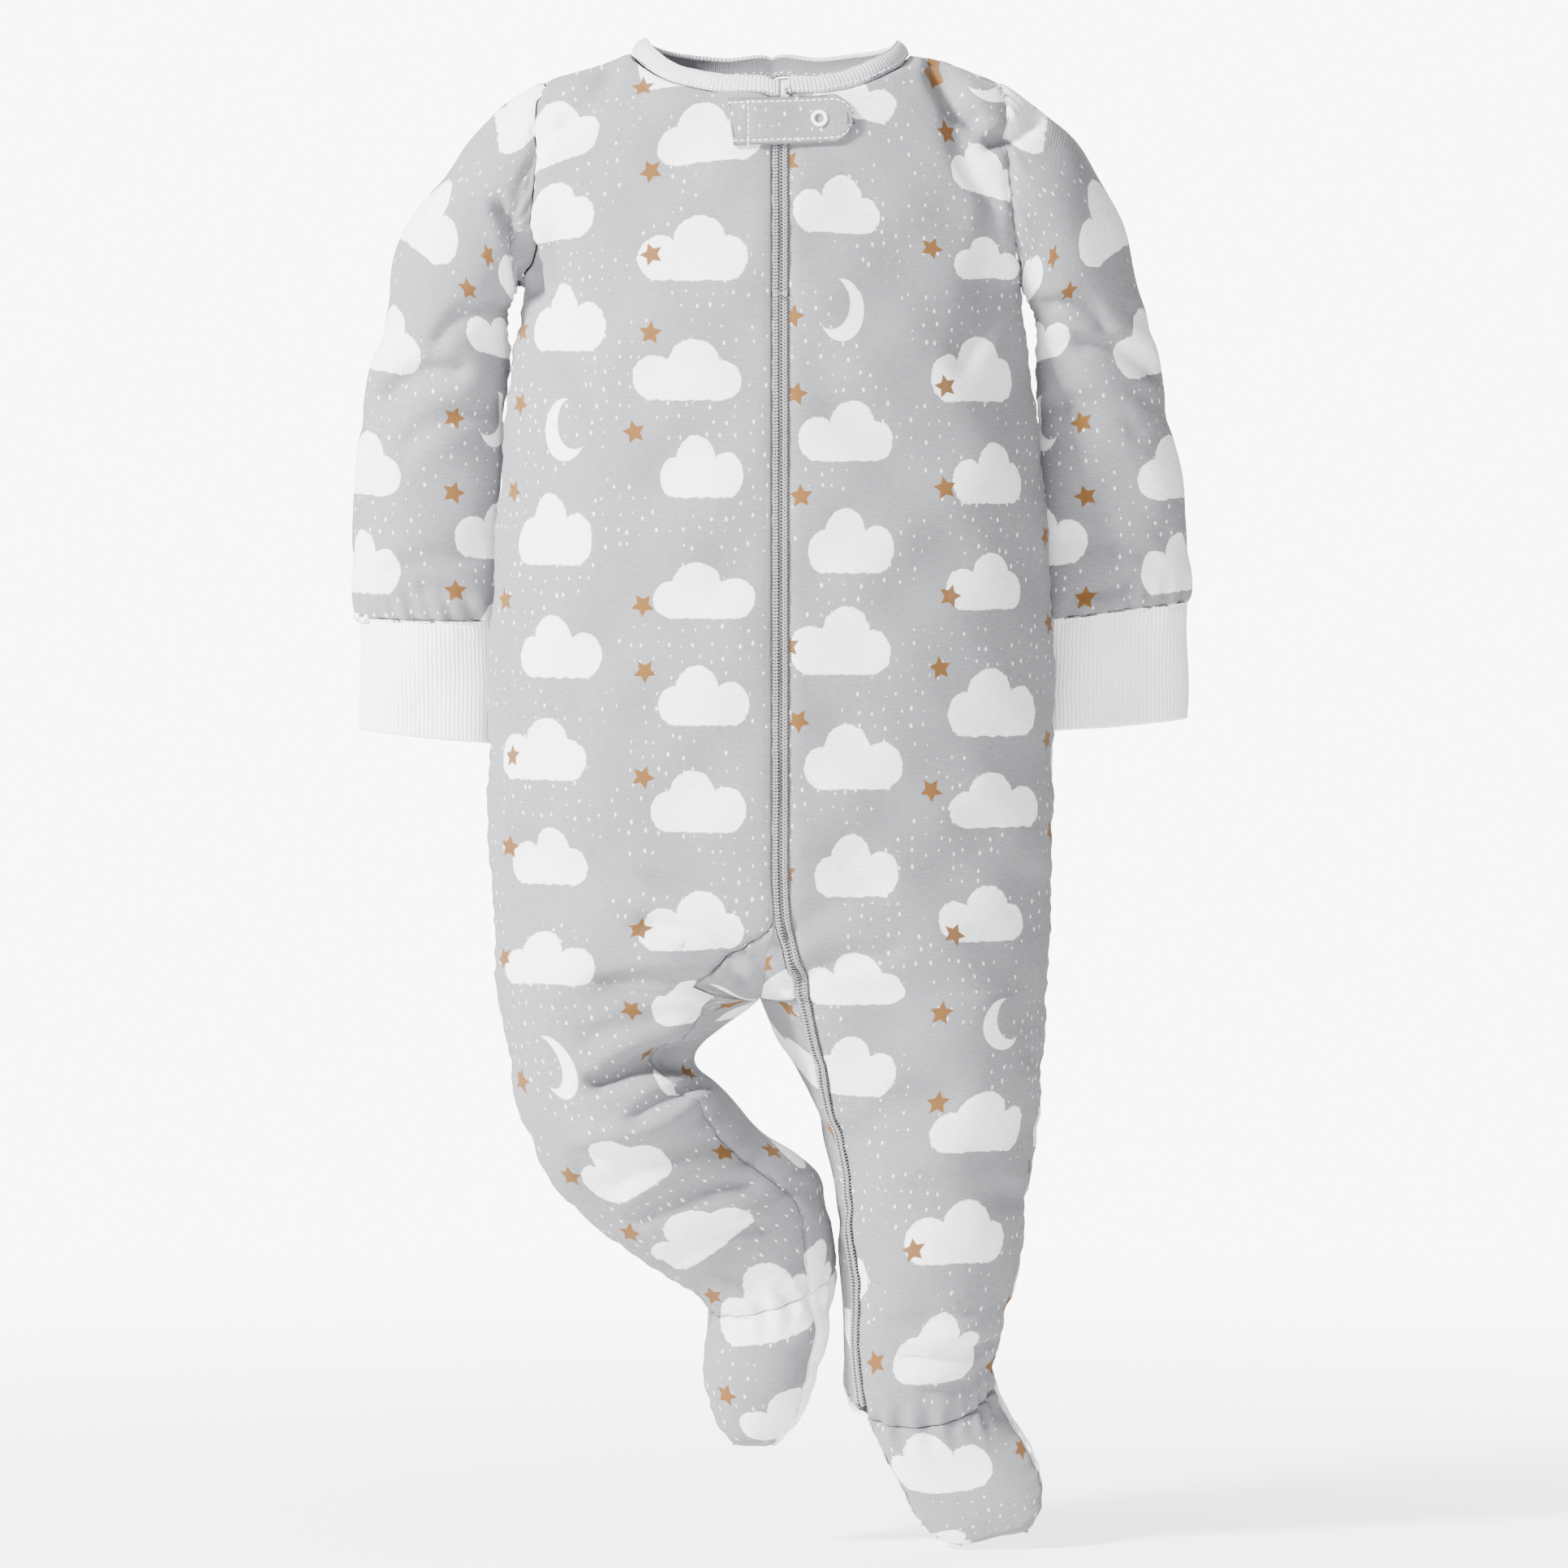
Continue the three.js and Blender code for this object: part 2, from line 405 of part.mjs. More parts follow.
// The cloth's outer face: points shared by all panels, and faces that each belong to one piece
class Cloth {
  constructor() {
    this.points = [];
    this.places = new Map();
    this.faces = [];
    this.fixedNormals = new Map();
  }

  index(point) {
    const key = point.toArray().map((value) => Math.round(value * 1000)).join(' ');
    if (!this.places.has(key)) {
      this.places.set(key, this.points.length);
      this.points.push(point.clone());
    }
    return this.places.get(key);
  }

  // A grid of rows and columns; turned reverses its faces
  addGrid(piece, grid, turned = false) {
    for (let i = 0; i + 1 < grid.length; i += 1) {
      for (let j = 0; j + 1 < grid[i].length; j += 1) {
        const around = [grid[i][j], grid[i + 1][j], grid[i + 1][j + 1], grid[i][j + 1]];
        const corners = around.map((point) => this.index(point))
          .filter((corner, k, all) => corner !== all[(k + 1) % all.length]);
        if (corners.length > 2) this.faces.push({ piece, corners: turned ? corners.reverse() : corners });
      }
    }
  }

  normals(faces) {
    const sums = this.points.map(() => new THREE.Vector3());
    for (const { corners } of faces) {
      const [a, b, c, d] = corners.map((corner) => this.points[corner]);
      const first = new THREE.Vector3().subVectors(c, a);
      const second = d ? new THREE.Vector3().subVectors(d, b) : new THREE.Vector3().subVectors(c, b);
      const area = d ? first.cross(second) : new THREE.Vector3().subVectors(b, a).cross(second);
      for (const corner of corners) sums[corner].add(area);
    }
    for (const [corner, normal] of this.fixedNormals) sums[corner].copy(normal);
    return sums.map((sum) => sum.normalize());
  }

  // Pushes every fold into the outer face
  fold(folds) {
    const normals = this.normals(this.faces);
    const shifts = this.points.map((point, i) => {
      const facing = { front: -normals[i].y, back: normals[i].y };
      return folds.reduce((total, entry) => {
        const weight = THREE.MathUtils.smoothstep(facing[entry.face], FOLD_FACING.start, FOLD_FACING.full);
        return total + weight * entry.depth * foldShare(entry, point.x, point.z);
      }, 0);
    });
    this.points.forEach((point, i) => point.addScaledVector(normals[i], -shifts[i]));
  }

  // One piece as a wall of its thickness, its edges drawn back by half the seam gap
  wall(piece, thickness) {
    const faces = this.faces.filter((face) => face.piece === piece);
    const own = this.normals(faces);
    const shared = this.normals(this.faces);
    const edges = borderEdges(faces);
    const drawn = new Map();
    for (const [a, b] of edges) {
      const along = new THREE.Vector3().subVectors(this.points[b], this.points[a]);
      for (const corner of [a, b]) {
        const inward = new THREE.Vector3().crossVectors(own[corner], along).normalize();
        drawn.set(corner, [...(drawn.get(corner) ?? []), inward]);
      }
    }
    const used = [...new Set(faces.flatMap((face) => face.corners))];
    const slots = new Map(used.map((corner, i) => [corner, i]));
    const outer = [];
    const inner = [];
    for (const corner of used) {
      const point = this.points[corner].clone();
      const offset = own[corner].clone().multiplyScalar(thickness);
      if (drawn.has(corner)) {
        const inward = drawn.get(corner).reduce((sum, next) => sum.add(next), new THREE.Vector3()).normalize();
        const rise = inward.dot(shared[corner]);
        const sharpest = Math.max(drawn.get(corner)[0].dot(inward), EDGE.corner);
        const steep = Math.max(Math.sqrt(1 - rise ** 2), EDGE.steep);
        point.addScaledVector(inward, SEAM_GAP / 2 / sharpest / steep);
        if (rise < EDGE.flat) {
          const lean = Math.max(own[corner].dot(shared[corner]), EDGE.lean);
          offset.copy(shared[corner]).multiplyScalar(thickness / lean);
        }
      }
      outer.push(point);
      inner.push(point.clone().sub(offset));
    }
    const triangles = [];
    const count = used.length;
    for (const face of faces) {
      for (const [a, b, c] of splitFace(face.corners.map((corner) => slots.get(corner)), outer)) {
        triangles.push([a, b, c], [a + count, c + count, b + count]);
      }
    }
    for (const [from, to] of edges) {
      const [a, b] = [slots.get(from), slots.get(to)];
      if (from < to) triangles.push([b, a, a + count], [b, a + count, b + count]);
      else triangles.push([b, a, b + count], [a, a + count, b + count]);
    }
    return geometry([...outer, ...inner], triangles);
  }
}

// How much of a fold's depth reaches a place: full on its line and fading to its sides and ends
function foldShare(entry, x, z) {
  const along = new THREE.Vector2(entry.x2 - entry.x1, entry.z2 - entry.z1);
  const length = along.length();
  along.divideScalar(length);
  const offset = new THREE.Vector2(x - entry.x1, z - entry.z1);
  const run = offset.dot(along);
  const aside = offset.cross(along);
  const past = Math.max(-run, run - length, 0);
  return Math.exp(-(aside ** 2 + (FOLD_END * past) ** 2) / entry.width ** 2);
}

// Directed edges that only one face of a piece has
function borderEdges(faces) {
  const edges = new Map();
  for (const { corners } of faces) {
    corners.forEach((corner, i) => {
      const next = corners[(i + 1) % corners.length];
      edges.set(`${corner} ${next}`, [corner, next]);
    });
  }
  return [...edges.values()].filter(([a, b]) => !edges.has(`${b} ${a}`));
}

// A face as triangles, a four-sided one along its shorter diagonal
function splitFace(corners, points) {
  const [a, b, c, d] = corners;
  if (d === undefined) return [[a, b, c]];
  const short = points[a].distanceTo(points[c]) <= points[b].distanceTo(points[d]);
  return short ? [[a, b, c], [a, c, d]] : [[a, b, d], [b, c, d]];
}

function geometry(points, triangles) {
  const result = new THREE.BufferGeometry();
  result.setAttribute('position', new THREE.Float32BufferAttribute(points.flatMap((p) => p.toArray()), 3));
  result.setIndex(triangles.flat());
  result.computeVertexNormals();
  return result;
}

// A closed bar through rings of equal count, with flat ends. Rings run so that the bar's faces point out.
function bar(rings) {
  const count = rings[0].length;
  const points = rings.flat();
  const triangles = [];
  for (let i = 0; i + 1 < rings.length; i += 1) {
    for (let j = 0; j < count; j += 1) {
      const [a, b] = [i * count + j, i * count + ((j + 1) % count)];
      triangles.push([a, b, b + count], [a, b + count, a + count]);
    }
  }
  const last = (rings.length - 1) * count;
  for (let j = 1; j + 1 < count; j += 1) {
    triangles.push([0, j + 1, j], [last, last + j, last + j + 1]);
  }
  return geometry(points, triangles);
}

// A ring of a sleeve or cuff, its points at the given angles from the outer side round the front
function sleeveRing(half, row, angles) {
  return angles.map((angle) => {
    const share = (1 + Math.cos(angle)) / 2;
    const across = row.inner + (row.outer - row.inner) * share;
    const height = row.zInner + (row.zOuter - row.zInner) * share;
    return new THREE.Vector3(half.side * across, row.mid - row.deep * Math.sin(angle), height);
  });
}

// Body panels of one half, with the zip opening kept as faces of no piece so that the cloth stays smooth
function addHalf(cloth, half, positions, grids) {
  const turned = half.side < 0;
  const rowsOf = (strip, from, to) => positions
    .map((position, i) => (position >= from && position <= to ? grids[i][strip] : null))
    .filter((row) => row !== null);
  cloth.addGrid(`front_${half.name}`, rowsOf('front', 0, ANKLE), turned);
  cloth.addGrid(`vamp_${half.name}`, rowsOf('front', ANKLE, TOE), turned);
  cloth.addGrid('back', rowsOf('back', 0, ANKLE), turned);
  cloth.addGrid('back', rowsOf('gusset', APEX, ANKLE), turned);
  cloth.addGrid(`sole_${half.name}`, rowsOf('back', ANKLE, TOE), turned);
  cloth.addGrid(`sole_${half.name}`, rowsOf('gusset', ANKLE, TOE), turned);
  if (half.zipped) {
    cloth.addGrid('zip_opening', rowsOf('slit', NECK_ROW, ANKLE), turned);
    cloth.addGrid(`sole_${half.name}`, rowsOf('slit', ANKLE, TOE), turned);
  }
  const toe = grids[grids.length - 1];
  const corners = [...toe.front, ...toe.back, ...toe.gusset].map((point) => cloth.index(point));
  const normals = cloth.normals(cloth.faces);
  const ahead = corners.reduce((sum, corner) => sum.add(normals[corner]), new THREE.Vector3()).normalize();
  for (const corner of corners) cloth.fixedNormals.set(corner, ahead);
}

function addSleeve(cloth, half, positions, grids) {
  const yoke = positions.map((position, i) => ({ position, grid: grids[i] }))
    .filter((row) => row.position <= UNDERARM);
  const down = yoke.map((row) => ({ point: row.grid.front[PANEL_COLUMNS], angle: armholeAngle(row.position) }));
  const up = yoke.slice(1, -1).reverse()
    .map((row) => ({ point: row.grid.back[0], angle: 2 * Math.PI - armholeAngle(row.position) }));
  const loop = [...down, ...up];
  const angles = loop.map((entry) => entry.angle);
  const closed = (ring) => [...ring, ring[0]];
  const rings = half.sleeve.map((row) => closed(sleeveRing(half, row, angles)));
  const cuff = half.cuff.map((row) => closed(sleeveRing(half, row, angles)));
  const armhole = closed(loop.map((entry) => entry.point));
  cloth.addGrid(`sleeve_${half.name}`, [armhole, ...rings], half.side > 0);
  cloth.addGrid(`cuff_${half.name}`, [rings[rings.length - 1], ...cuff], half.side > 0);
}

function armholeAngle(position) {
  const rows = ARMHOLE_ANGLES.map((degrees) => ({ degrees }));
  return THREE.MathUtils.degToRad(sample(rows, position).degrees);
}

// The neckband runs from the zip round the left shoulder, the back and the right shoulder to the zip again
function addNeckband(cloth, positions, leftGrids, rightGrids) {
  const neck = positions.map((position, i) => ({ position, left: leftGrids[i], right: rightGrids[i] }))
    .filter((row) => row.position <= NECK_ROW);
  const edge = (row, point, centre) => {
    const share = row.position / NECK_ROW;
    const inward = THREE.MathUtils.lerp(BAND_SHOULDER.inward, centre.inward, share);
    const up = THREE.MathUtils.lerp(BAND_SHOULDER.up, centre.up, share);
    const lean = new THREE.Vector3(-point.x, -point.y, 0).normalize().multiplyScalar(inward);
    return { seam: point, free: point.clone().add(lean).setZ(point.z + up) };
  };
  const up = [...neck].reverse();
  const stops = [
    ...up.map((row) => edge(row, row.left.front[0], BAND_FRONT)),
    ...neck.slice(1).map((row) => edge(row, row.left.back[PANEL_COLUMNS], BAND_BACK)),
    ...up.slice(1).map((row) => edge(row, row.right.back[PANEL_COLUMNS], BAND_BACK)),
    ...neck.slice(1).map((row) => edge(row, row.right.front[0], BAND_FRONT)),
  ];
  const [first, last] = [stops[0], stops[stops.length - 1]];
  const endStop = (stop, x) => ({ seam: stop.seam.clone().setX(x), free: stop.free.clone().setX(x) });
  const band = [endStop(first, ZIP_X + BAND_END), ...stops, endStop(last, ZIP_X - BAND_END)];
  const rows = [];
  for (let i = 0; i <= BAND_ROWS; i += 1) {
    const share = i / BAND_ROWS;
    rows.push(band.map(({ seam, free }) => {
      const point = seam.clone().lerp(free, share);
      return point.setZ(seam.z + (free.z - seam.z) * Math.sin((share * Math.PI) / 2) ** BAND_ROUND);
    }));
  }
  cloth.addGrid('neckband', rows, true);
}

// A place on the left half's front, a length of cloth aside of the zip's middle, and the way out of it
function zipPlace(position, aside) {
  const place = (at, off) => {
    const shape = section(LEFT, at, 'front');
    const zip = angleAcross(shape, at < UNDERARM ? ZIP_X : shape.row.zip);
    return shape.at(zip + off / clothPerRadian(shape, zip));
  };
  const small = 0.02;
  const along = place(position + small, aside).sub(place(position - small, aside));
  const across = place(position, aside + small).sub(place(position, aside - small));
  return { point: place(position, aside), out: along.cross(across).normalize() };
}

// A bar that follows the zip, from a profile of (aside, depth) pairs
function zipBar(start, end, profile) {
  const rings = [];
  const steps = Math.ceil((end - start) / ZIP_STEP);
  for (let i = 0; i <= steps; i += 1) {
    const position = start + ((end - start) * i) / steps;
    rings.push(profile.map(([aside, depth]) => {
      const { point, out } = zipPlace(position, aside);
      return point.addScaledVector(out, -depth);
    }));
  }
  return bar(rings);
}

function tapeGeometry(side) {
  const { from, to, shallow, deep } = TAPE;
  const middle = (from + to) / 2;
  const top = [[from, shallow], [middle, shallow], [to, shallow]];
  const profile = [...top, [to, deep], [middle, deep], [from, deep]];
  const mirrored = profile.map(([aside, depth]) => [side * aside, depth]);
  return zipBar(TAPE.start, TAPE.end, side > 0 ? mirrored.reverse() : mirrored);
}

function coilGeometry(side) {
  const { from, to, shallow, deep, bevel } = COIL;
  const profile = [
    [from, deep], [from, shallow + bevel], [from + bevel, shallow],
    [to - bevel, shallow], [to, shallow + bevel], [to, deep],
  ];
  const mirrored = profile.map(([aside, depth]) => [side * aside, depth]);
  return zipBar(COIL.start, COIL.end, side > 0 ? mirrored.reverse() : mirrored);
}

function sliderGeometry() {
  const { halfWidth, shallow, deep } = SLIDER;
  return zipBar(SLIDER.start, SLIDER.end, [
    [halfWidth, deep], [halfWidth, shallow], [-halfWidth, shallow], [-halfWidth, deep],
  ]);
}

// The place on the front yoke at a given x and height, found by halving the span of rows
function yokePlace(x, z) {
  let [above, below] = [1, UNDERARM - 1];
  for (let i = 0; i < HALVINGS; i += 1) {
    const middle = (above + below) / 2;
    const shape = section(LEFT, middle, 'front');
    if (shape.at(angleAcross(shape, Math.abs(x))).z > z) above = middle;
    else below = middle;
  }
  const shape = section(LEFT, above, 'front');
  return shape.at(angleAcross(shape, Math.abs(x))).setX(x);
}

// A place on the tab's outer face, lifted off the yoke by its own thickness and the gap under it
function tabPlace(x, z, lift) {
  const small = 0.1;
  const along = yokePlace(x + small, z).sub(yokePlace(x - small, z));
  const upward = yokePlace(x, z + small).sub(yokePlace(x, z - small));
  const out = along.cross(upward).normalize();
  return { point: yokePlace(x, z).addScaledVector(out, lift), out };
}

function tabGeometry() {
  const cloth = new Cloth();
  const grid = [];
  for (let i = 0; i <= TAB_ROWS; i += 1) {
    const row = [];
    for (let j = 0; j <= TAB_COLUMNS; j += 1) {
      const share = j / TAB_COLUMNS;
      const x = TAB.left + (TAB.right - TAB.left) * Math.sin((share * Math.PI) / 2) ** TAB_BUNCH;
      const pastCorner = Math.max(x - (TAB.right - TAB.corner), 0);
      const trim = TAB.corner - Math.sqrt(TAB.corner ** 2 - pastCorner ** 2);
      const top = TAB.top + TAB.rise * (x - TAB.left) - trim;
      const z = top - ((TAB.height - 2 * trim) * i) / TAB_ROWS;
      const slant = (TAB.slant * (1 - share) * i) / TAB_ROWS;
      row.push(tabPlace(x + slant, z, TAB_LIFT + TAB_THICK).point);
    }
    grid.push(row);
  }
  cloth.addGrid('chin_guard', grid);
  return cloth.wall('chin_guard', TAB_THICK);
}

function snapGeometry() {
  const { point, out } = tabPlace(SNAP.x, SNAP.z, TAB_LIFT + TAB_THICK + SEAM_GAP);
  const right = new THREE.Vector3(1, 0, 0).addScaledVector(out, -out.x).normalize();
  const up = new THREE.Vector3().crossVectors(out, right);
  const ring = (radius, lift) => {
    const points = [];
    for (let i = 0; i < SNAP.segments; i += 1) {
      const angle = (2 * Math.PI * i) / SNAP.segments;
      points.push(point.clone().addScaledVector(out, lift)
        .addScaledVector(right, radius * Math.cos(angle)).addScaledVector(up, radius * Math.sin(angle)));
    }
    return [...points, points[0]];
  };
  const shell = new Cloth();
  const middle = (SNAP.outer + SNAP.inner) / 2;
  const profile = [
    ring(SNAP.outer, 0), ring(SNAP.outer, SNAP.thick / 2), ring(middle, SNAP.thick),
    ring(SNAP.inner, SNAP.thick / 2), ring(SNAP.inner, 0), ring(SNAP.outer, 0),
  ];
  shell.addGrid('snap_ring', profile, true);
  return geometry(shell.points, shell.faces.flatMap((face) => splitFace(face.corners, shell.points)));
}

function buildCloth() {
  const cloth = new Cloth();
  const positions = rowPositions();
  const left = positions.map((position) => rowOfHalf(LEFT, position));
  const right = positions.map((position) => rowOfHalf(RIGHT, position));
  addHalf(cloth, LEFT, positions, left);
  addHalf(cloth, RIGHT, positions, right);
  addSleeve(cloth, LEFT, positions, left);
  addSleeve(cloth, RIGHT, positions, right);
  addNeckband(cloth, positions, left, right);
  cloth.fold(FOLDS);
  return cloth;
}

function mesh(name, shape, finish) {
  const result = new THREE.Mesh(shape, new THREE.MeshStandardMaterial(finish));
  result.name = name;
  return result;
}

const cloth = buildCloth();
const sleepsuit = new THREE.Group();
const PRINTED = ['front_right', 'front_left', 'back', 'sleeve_right', 'sleeve_left', 'vamp_right', 'vamp_left'];
for (const name of PRINTED) sleepsuit.add(mesh(name, cloth.wall(name, JERSEY), JERSEY_MATERIAL));
for (const name of ['sole_right', 'sole_left']) {
  sleepsuit.add(mesh(name, cloth.wall(name, JERSEY), RIB_MATERIAL));
}
for (const name of ['cuff_right', 'cuff_left']) {
  sleepsuit.add(mesh(name, cloth.wall(name, RIB), RIB_MATERIAL));
}
sleepsuit.add(mesh('neckband', cloth.wall('neckband', RIB), BAND_MATERIAL));
for (const [name, side] of [['right', -1], ['left', 1]]) {
  sleepsuit.add(mesh(`zip_tape_${name}`, tapeGeometry(side), TAPE_MATERIAL));
  sleepsuit.add(mesh(`zip_coil_${name}`, coilGeometry(side), COIL_MATERIAL));
}
sleepsuit.add(mesh('zip_slider', sliderGeometry(), COIL_MATERIAL));
sleepsuit.add(mesh('chin_guard', tabGeometry(), JERSEY_MATERIAL));
sleepsuit.add(mesh('snap_ring', snapGeometry(), SNAP_MATERIAL));

export default sleepsuit;
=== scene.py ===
"""Looks of a footed baby sleepsuit, filled out with no wearer.

The cloth is worked out as sections: each row of a half of the body is an ellipse seen from above, walked
by an angle that is 0 at the inner side, a quarter turn in front, a half turn at the outer side and three
quarters behind. Every panel is a strip of those sections. The panels share one outer face, creases are
pressed into it, and each piece then becomes a thin shell of its own. Lengths are in millimetres until a
mesh is written, which is in metres. The front faces -Y and the wearer's left is +X.
"""

import logging
import math
from collections.abc import Callable
from dataclasses import dataclass, field
from enum import Enum

import bpy
import numpy as np
from bpy.types import Material, Node, NodeSocket, NodeTree, Object
from mathutils import Euler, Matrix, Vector

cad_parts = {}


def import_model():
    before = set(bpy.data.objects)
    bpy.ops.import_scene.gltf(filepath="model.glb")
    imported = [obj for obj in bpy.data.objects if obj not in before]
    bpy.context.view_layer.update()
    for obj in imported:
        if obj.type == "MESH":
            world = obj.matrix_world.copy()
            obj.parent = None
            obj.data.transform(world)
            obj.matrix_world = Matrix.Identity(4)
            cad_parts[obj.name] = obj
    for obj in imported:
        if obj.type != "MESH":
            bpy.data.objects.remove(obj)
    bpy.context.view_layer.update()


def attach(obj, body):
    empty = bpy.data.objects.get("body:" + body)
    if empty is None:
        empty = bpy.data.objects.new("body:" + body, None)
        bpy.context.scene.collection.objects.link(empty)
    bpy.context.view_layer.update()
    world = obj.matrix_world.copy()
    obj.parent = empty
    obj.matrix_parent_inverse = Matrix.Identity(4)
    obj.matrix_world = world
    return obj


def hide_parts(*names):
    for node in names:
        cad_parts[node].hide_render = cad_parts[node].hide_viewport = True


Array = np.ndarray
Pair = tuple[float, float]
Triple = tuple[float, float, float]
LOG = logging.getLogger("sleepsuit")
MM = 0.001

# Thickness of the cloth and the gap between two pieces at a seam
JERSEY = 1.2
RIB = 2.0
SEAM_GAP = 0.1

# Row numbers that end one part of the body and start the next
NECK_ROW = 4
UNDERARM = 9
LAST_TORSO = 15
APEX = 16
CROTCH = 20
ANKLE = 28
TOE = 34

# Zip: its place beside the centre line and the opening between the fronts
CENTRE_X = 0.1
ZIP_X = 3.5
ZIP_OPENING = 6.8
SLIT_SHARE = 0.63

# Rows of the mesh in each part of the body, as (first row, last row, steps from one row to the next)
ROW_STEPS = ((0, 4, 7), (4, 9, 6), (9, 15, 13), (15, 19, 5), (19, 20, 1), (20, 28, 7), (28, 34, 6))
# Close rows beside the ankle's seam
BESIDE_ANKLE = (-0.2, -0.1, -0.04, 0.04, 0.1, 0.2)
# Columns between the seams, and the distances of the close columns beside each seam
PANEL_COLUMNS = 46
GUSSET_COLUMNS = 14
SLIT_COLUMNS = 2
SEAM_COLUMNS = (0.0, 1.0, 2.2, 4.0)
# Strips narrower than this have their close columns drawn together
NARROW_STRIP = 40.0
# Points of the fine walks that measure cloth across a strip, round a leg and down the zip
FINE_ACROSS = 241
FINE_AROUND = 721
FINE_DOWN = 1500
# How far from the line where the two halves meet their cloth is drawn over to it
MEETING_REACH = 22.0
# Below the torso, the share of a column's own length in how far down it lies in the cut
OWN_LENGTH = 0.3
# A distance that stands for having no seam near
NO_SEAM = 1e3
# Two points closer than this are one point
SAME_PLACE = 0.002
# A length that counts as none
TINY = 1e-12


def smooth(values: Array, position: Array) -> Array:
    """Reads rows of numbers, or between them on smooth curves.

    Each column is the Catmull-Rom curve b + t/2 (c - a + t (2a - 5b + 4c - d + t (3b - 3c + d - a)))
    through its entries a, b, c, d.

    Args:
        values: the rows.
        position: row numbers, whole or between two rows.

    Returns:
        One row for each position.
    """
    last = len(values) - 1
    first = np.clip(np.floor(position).astype(int), 0, last - 1)
    t = (position - first)[:, None]
    a, b, c, d = (values[np.clip(first + k, 0, last)] for k in (-1, 0, 1, 2))
    return b + 0.5 * t * (c - a + t * (2 * a - 5 * b + 4 * c - d + t * (3 * (b - c) + d - a)))


class Table:
    """A table of named columns, read between its rows on a smooth curve."""

    def __init__(self, names: str, rows: list[tuple[float, ...]]) -> None:
        """Takes the columns' names, parted by spaces, and the rows."""
        self.names = names.split()
        self.values = np.array(rows, dtype=float)

    def sample(self, position: Array) -> dict[str, Array]:
        """Every named column at the given row numbers."""
        rows = smooth(self.values, position)
        return {name: rows[:, i] for i, name in enumerate(self.names)}


# Yoke from the shoulder seam to the underarm. mid and edge are heights at the centre line and at the
# armhole, neck and arm are the distances of the neckline and the armhole from the centre line, deep is how
# far the row stands out in the middle and share is how much of that is left at the armhole.
YOKE_COLUMNS = "mid edge neck arm deep share"
FRONT_YOKE = Table(YOKE_COLUMNS, [
    (10.9, -6.0, 54.0, 87.0, 0.0, 0.5), (2.7, -7.9, 49.9, 88.0, 17.4, 0.47),
    (-5.3, -13.4, 38.0, 90.0, 30.0, 0.52), (-10.4, -22.1, 20.2, 91.0, 36.9, 0.575),
    (-12.5, -33.0, 0.0, 91.0, 39.2, 0.626), (-27.0, -45.0, 0.0, 91.5, 41.4, 0.62),
    (-43.0, -57.0, 0.0, 92.5, 44.0, 0.56), (-59.0, -70.0, 0.0, 94.0, 46.0, 0.435),
    (-75.0, -80.3, 0.0, 96.5, 47.5, 0.23), (-88.0, -85.0, 0.0, 96.0, 49.0, 0.0),
])
BACK_MIDS = (10.9, 5.7, 0, -4.2, -6, -20, -37, -55, -73, -88)
BACK_DEPTHS = (0, 16.4, 28, 34.6, 37.5, 39.8, 42, 44, 45.5, 46)
BACK_YOKE = Table(YOKE_COLUMNS, [
    (mid, row[1], row[2], row[3], deep, row[5])
    for row, mid, deep in zip(FRONT_YOKE.values, BACK_MIDS, BACK_DEPTHS)
])

# Torso rows: height, half width, depth in front and behind, and how square the section's corners are
TORSO = (
    (-87.0, 96.0, 49, 46, 0.0), (-115.7, 99.3, 51, 46, 0.02), (-150.0, 104.1, 53, 46, 0.04),
    (-194.0, 107.8, 55, 48, 0.04), (-240.0, 109.3, 55, 52, 0.04), (-285.0, 109.7, 53, 57, 0.04),
    (-311.0, 108.8, 51, 58, 0.02),
)
# Fork rows, where one tube turns into two: x and z of the middle seam, how far a leg's own curve would run
# past it, the outer side, depth in front and behind, squareness, and the height outside each leg
FORK = (
    (1.2, -328.0, 70, 107.5, 50, 57, 0.02, -328, -326), (-2.0, -342.0, 38, 107.5, 49, 55, 0.03, -340, -335),
    (-3.0, -352.0, 18, 107.4, 48, 52, 0.05, -348, -342), (-4.0, -358.0, 6, 107.1, 47, 50, 0.08, -354, -347),
)
FORK_ZIP = (4.6, 8.0, 10.5, 11.6)
FORK_STRIP = (0, 12, 24, 33)

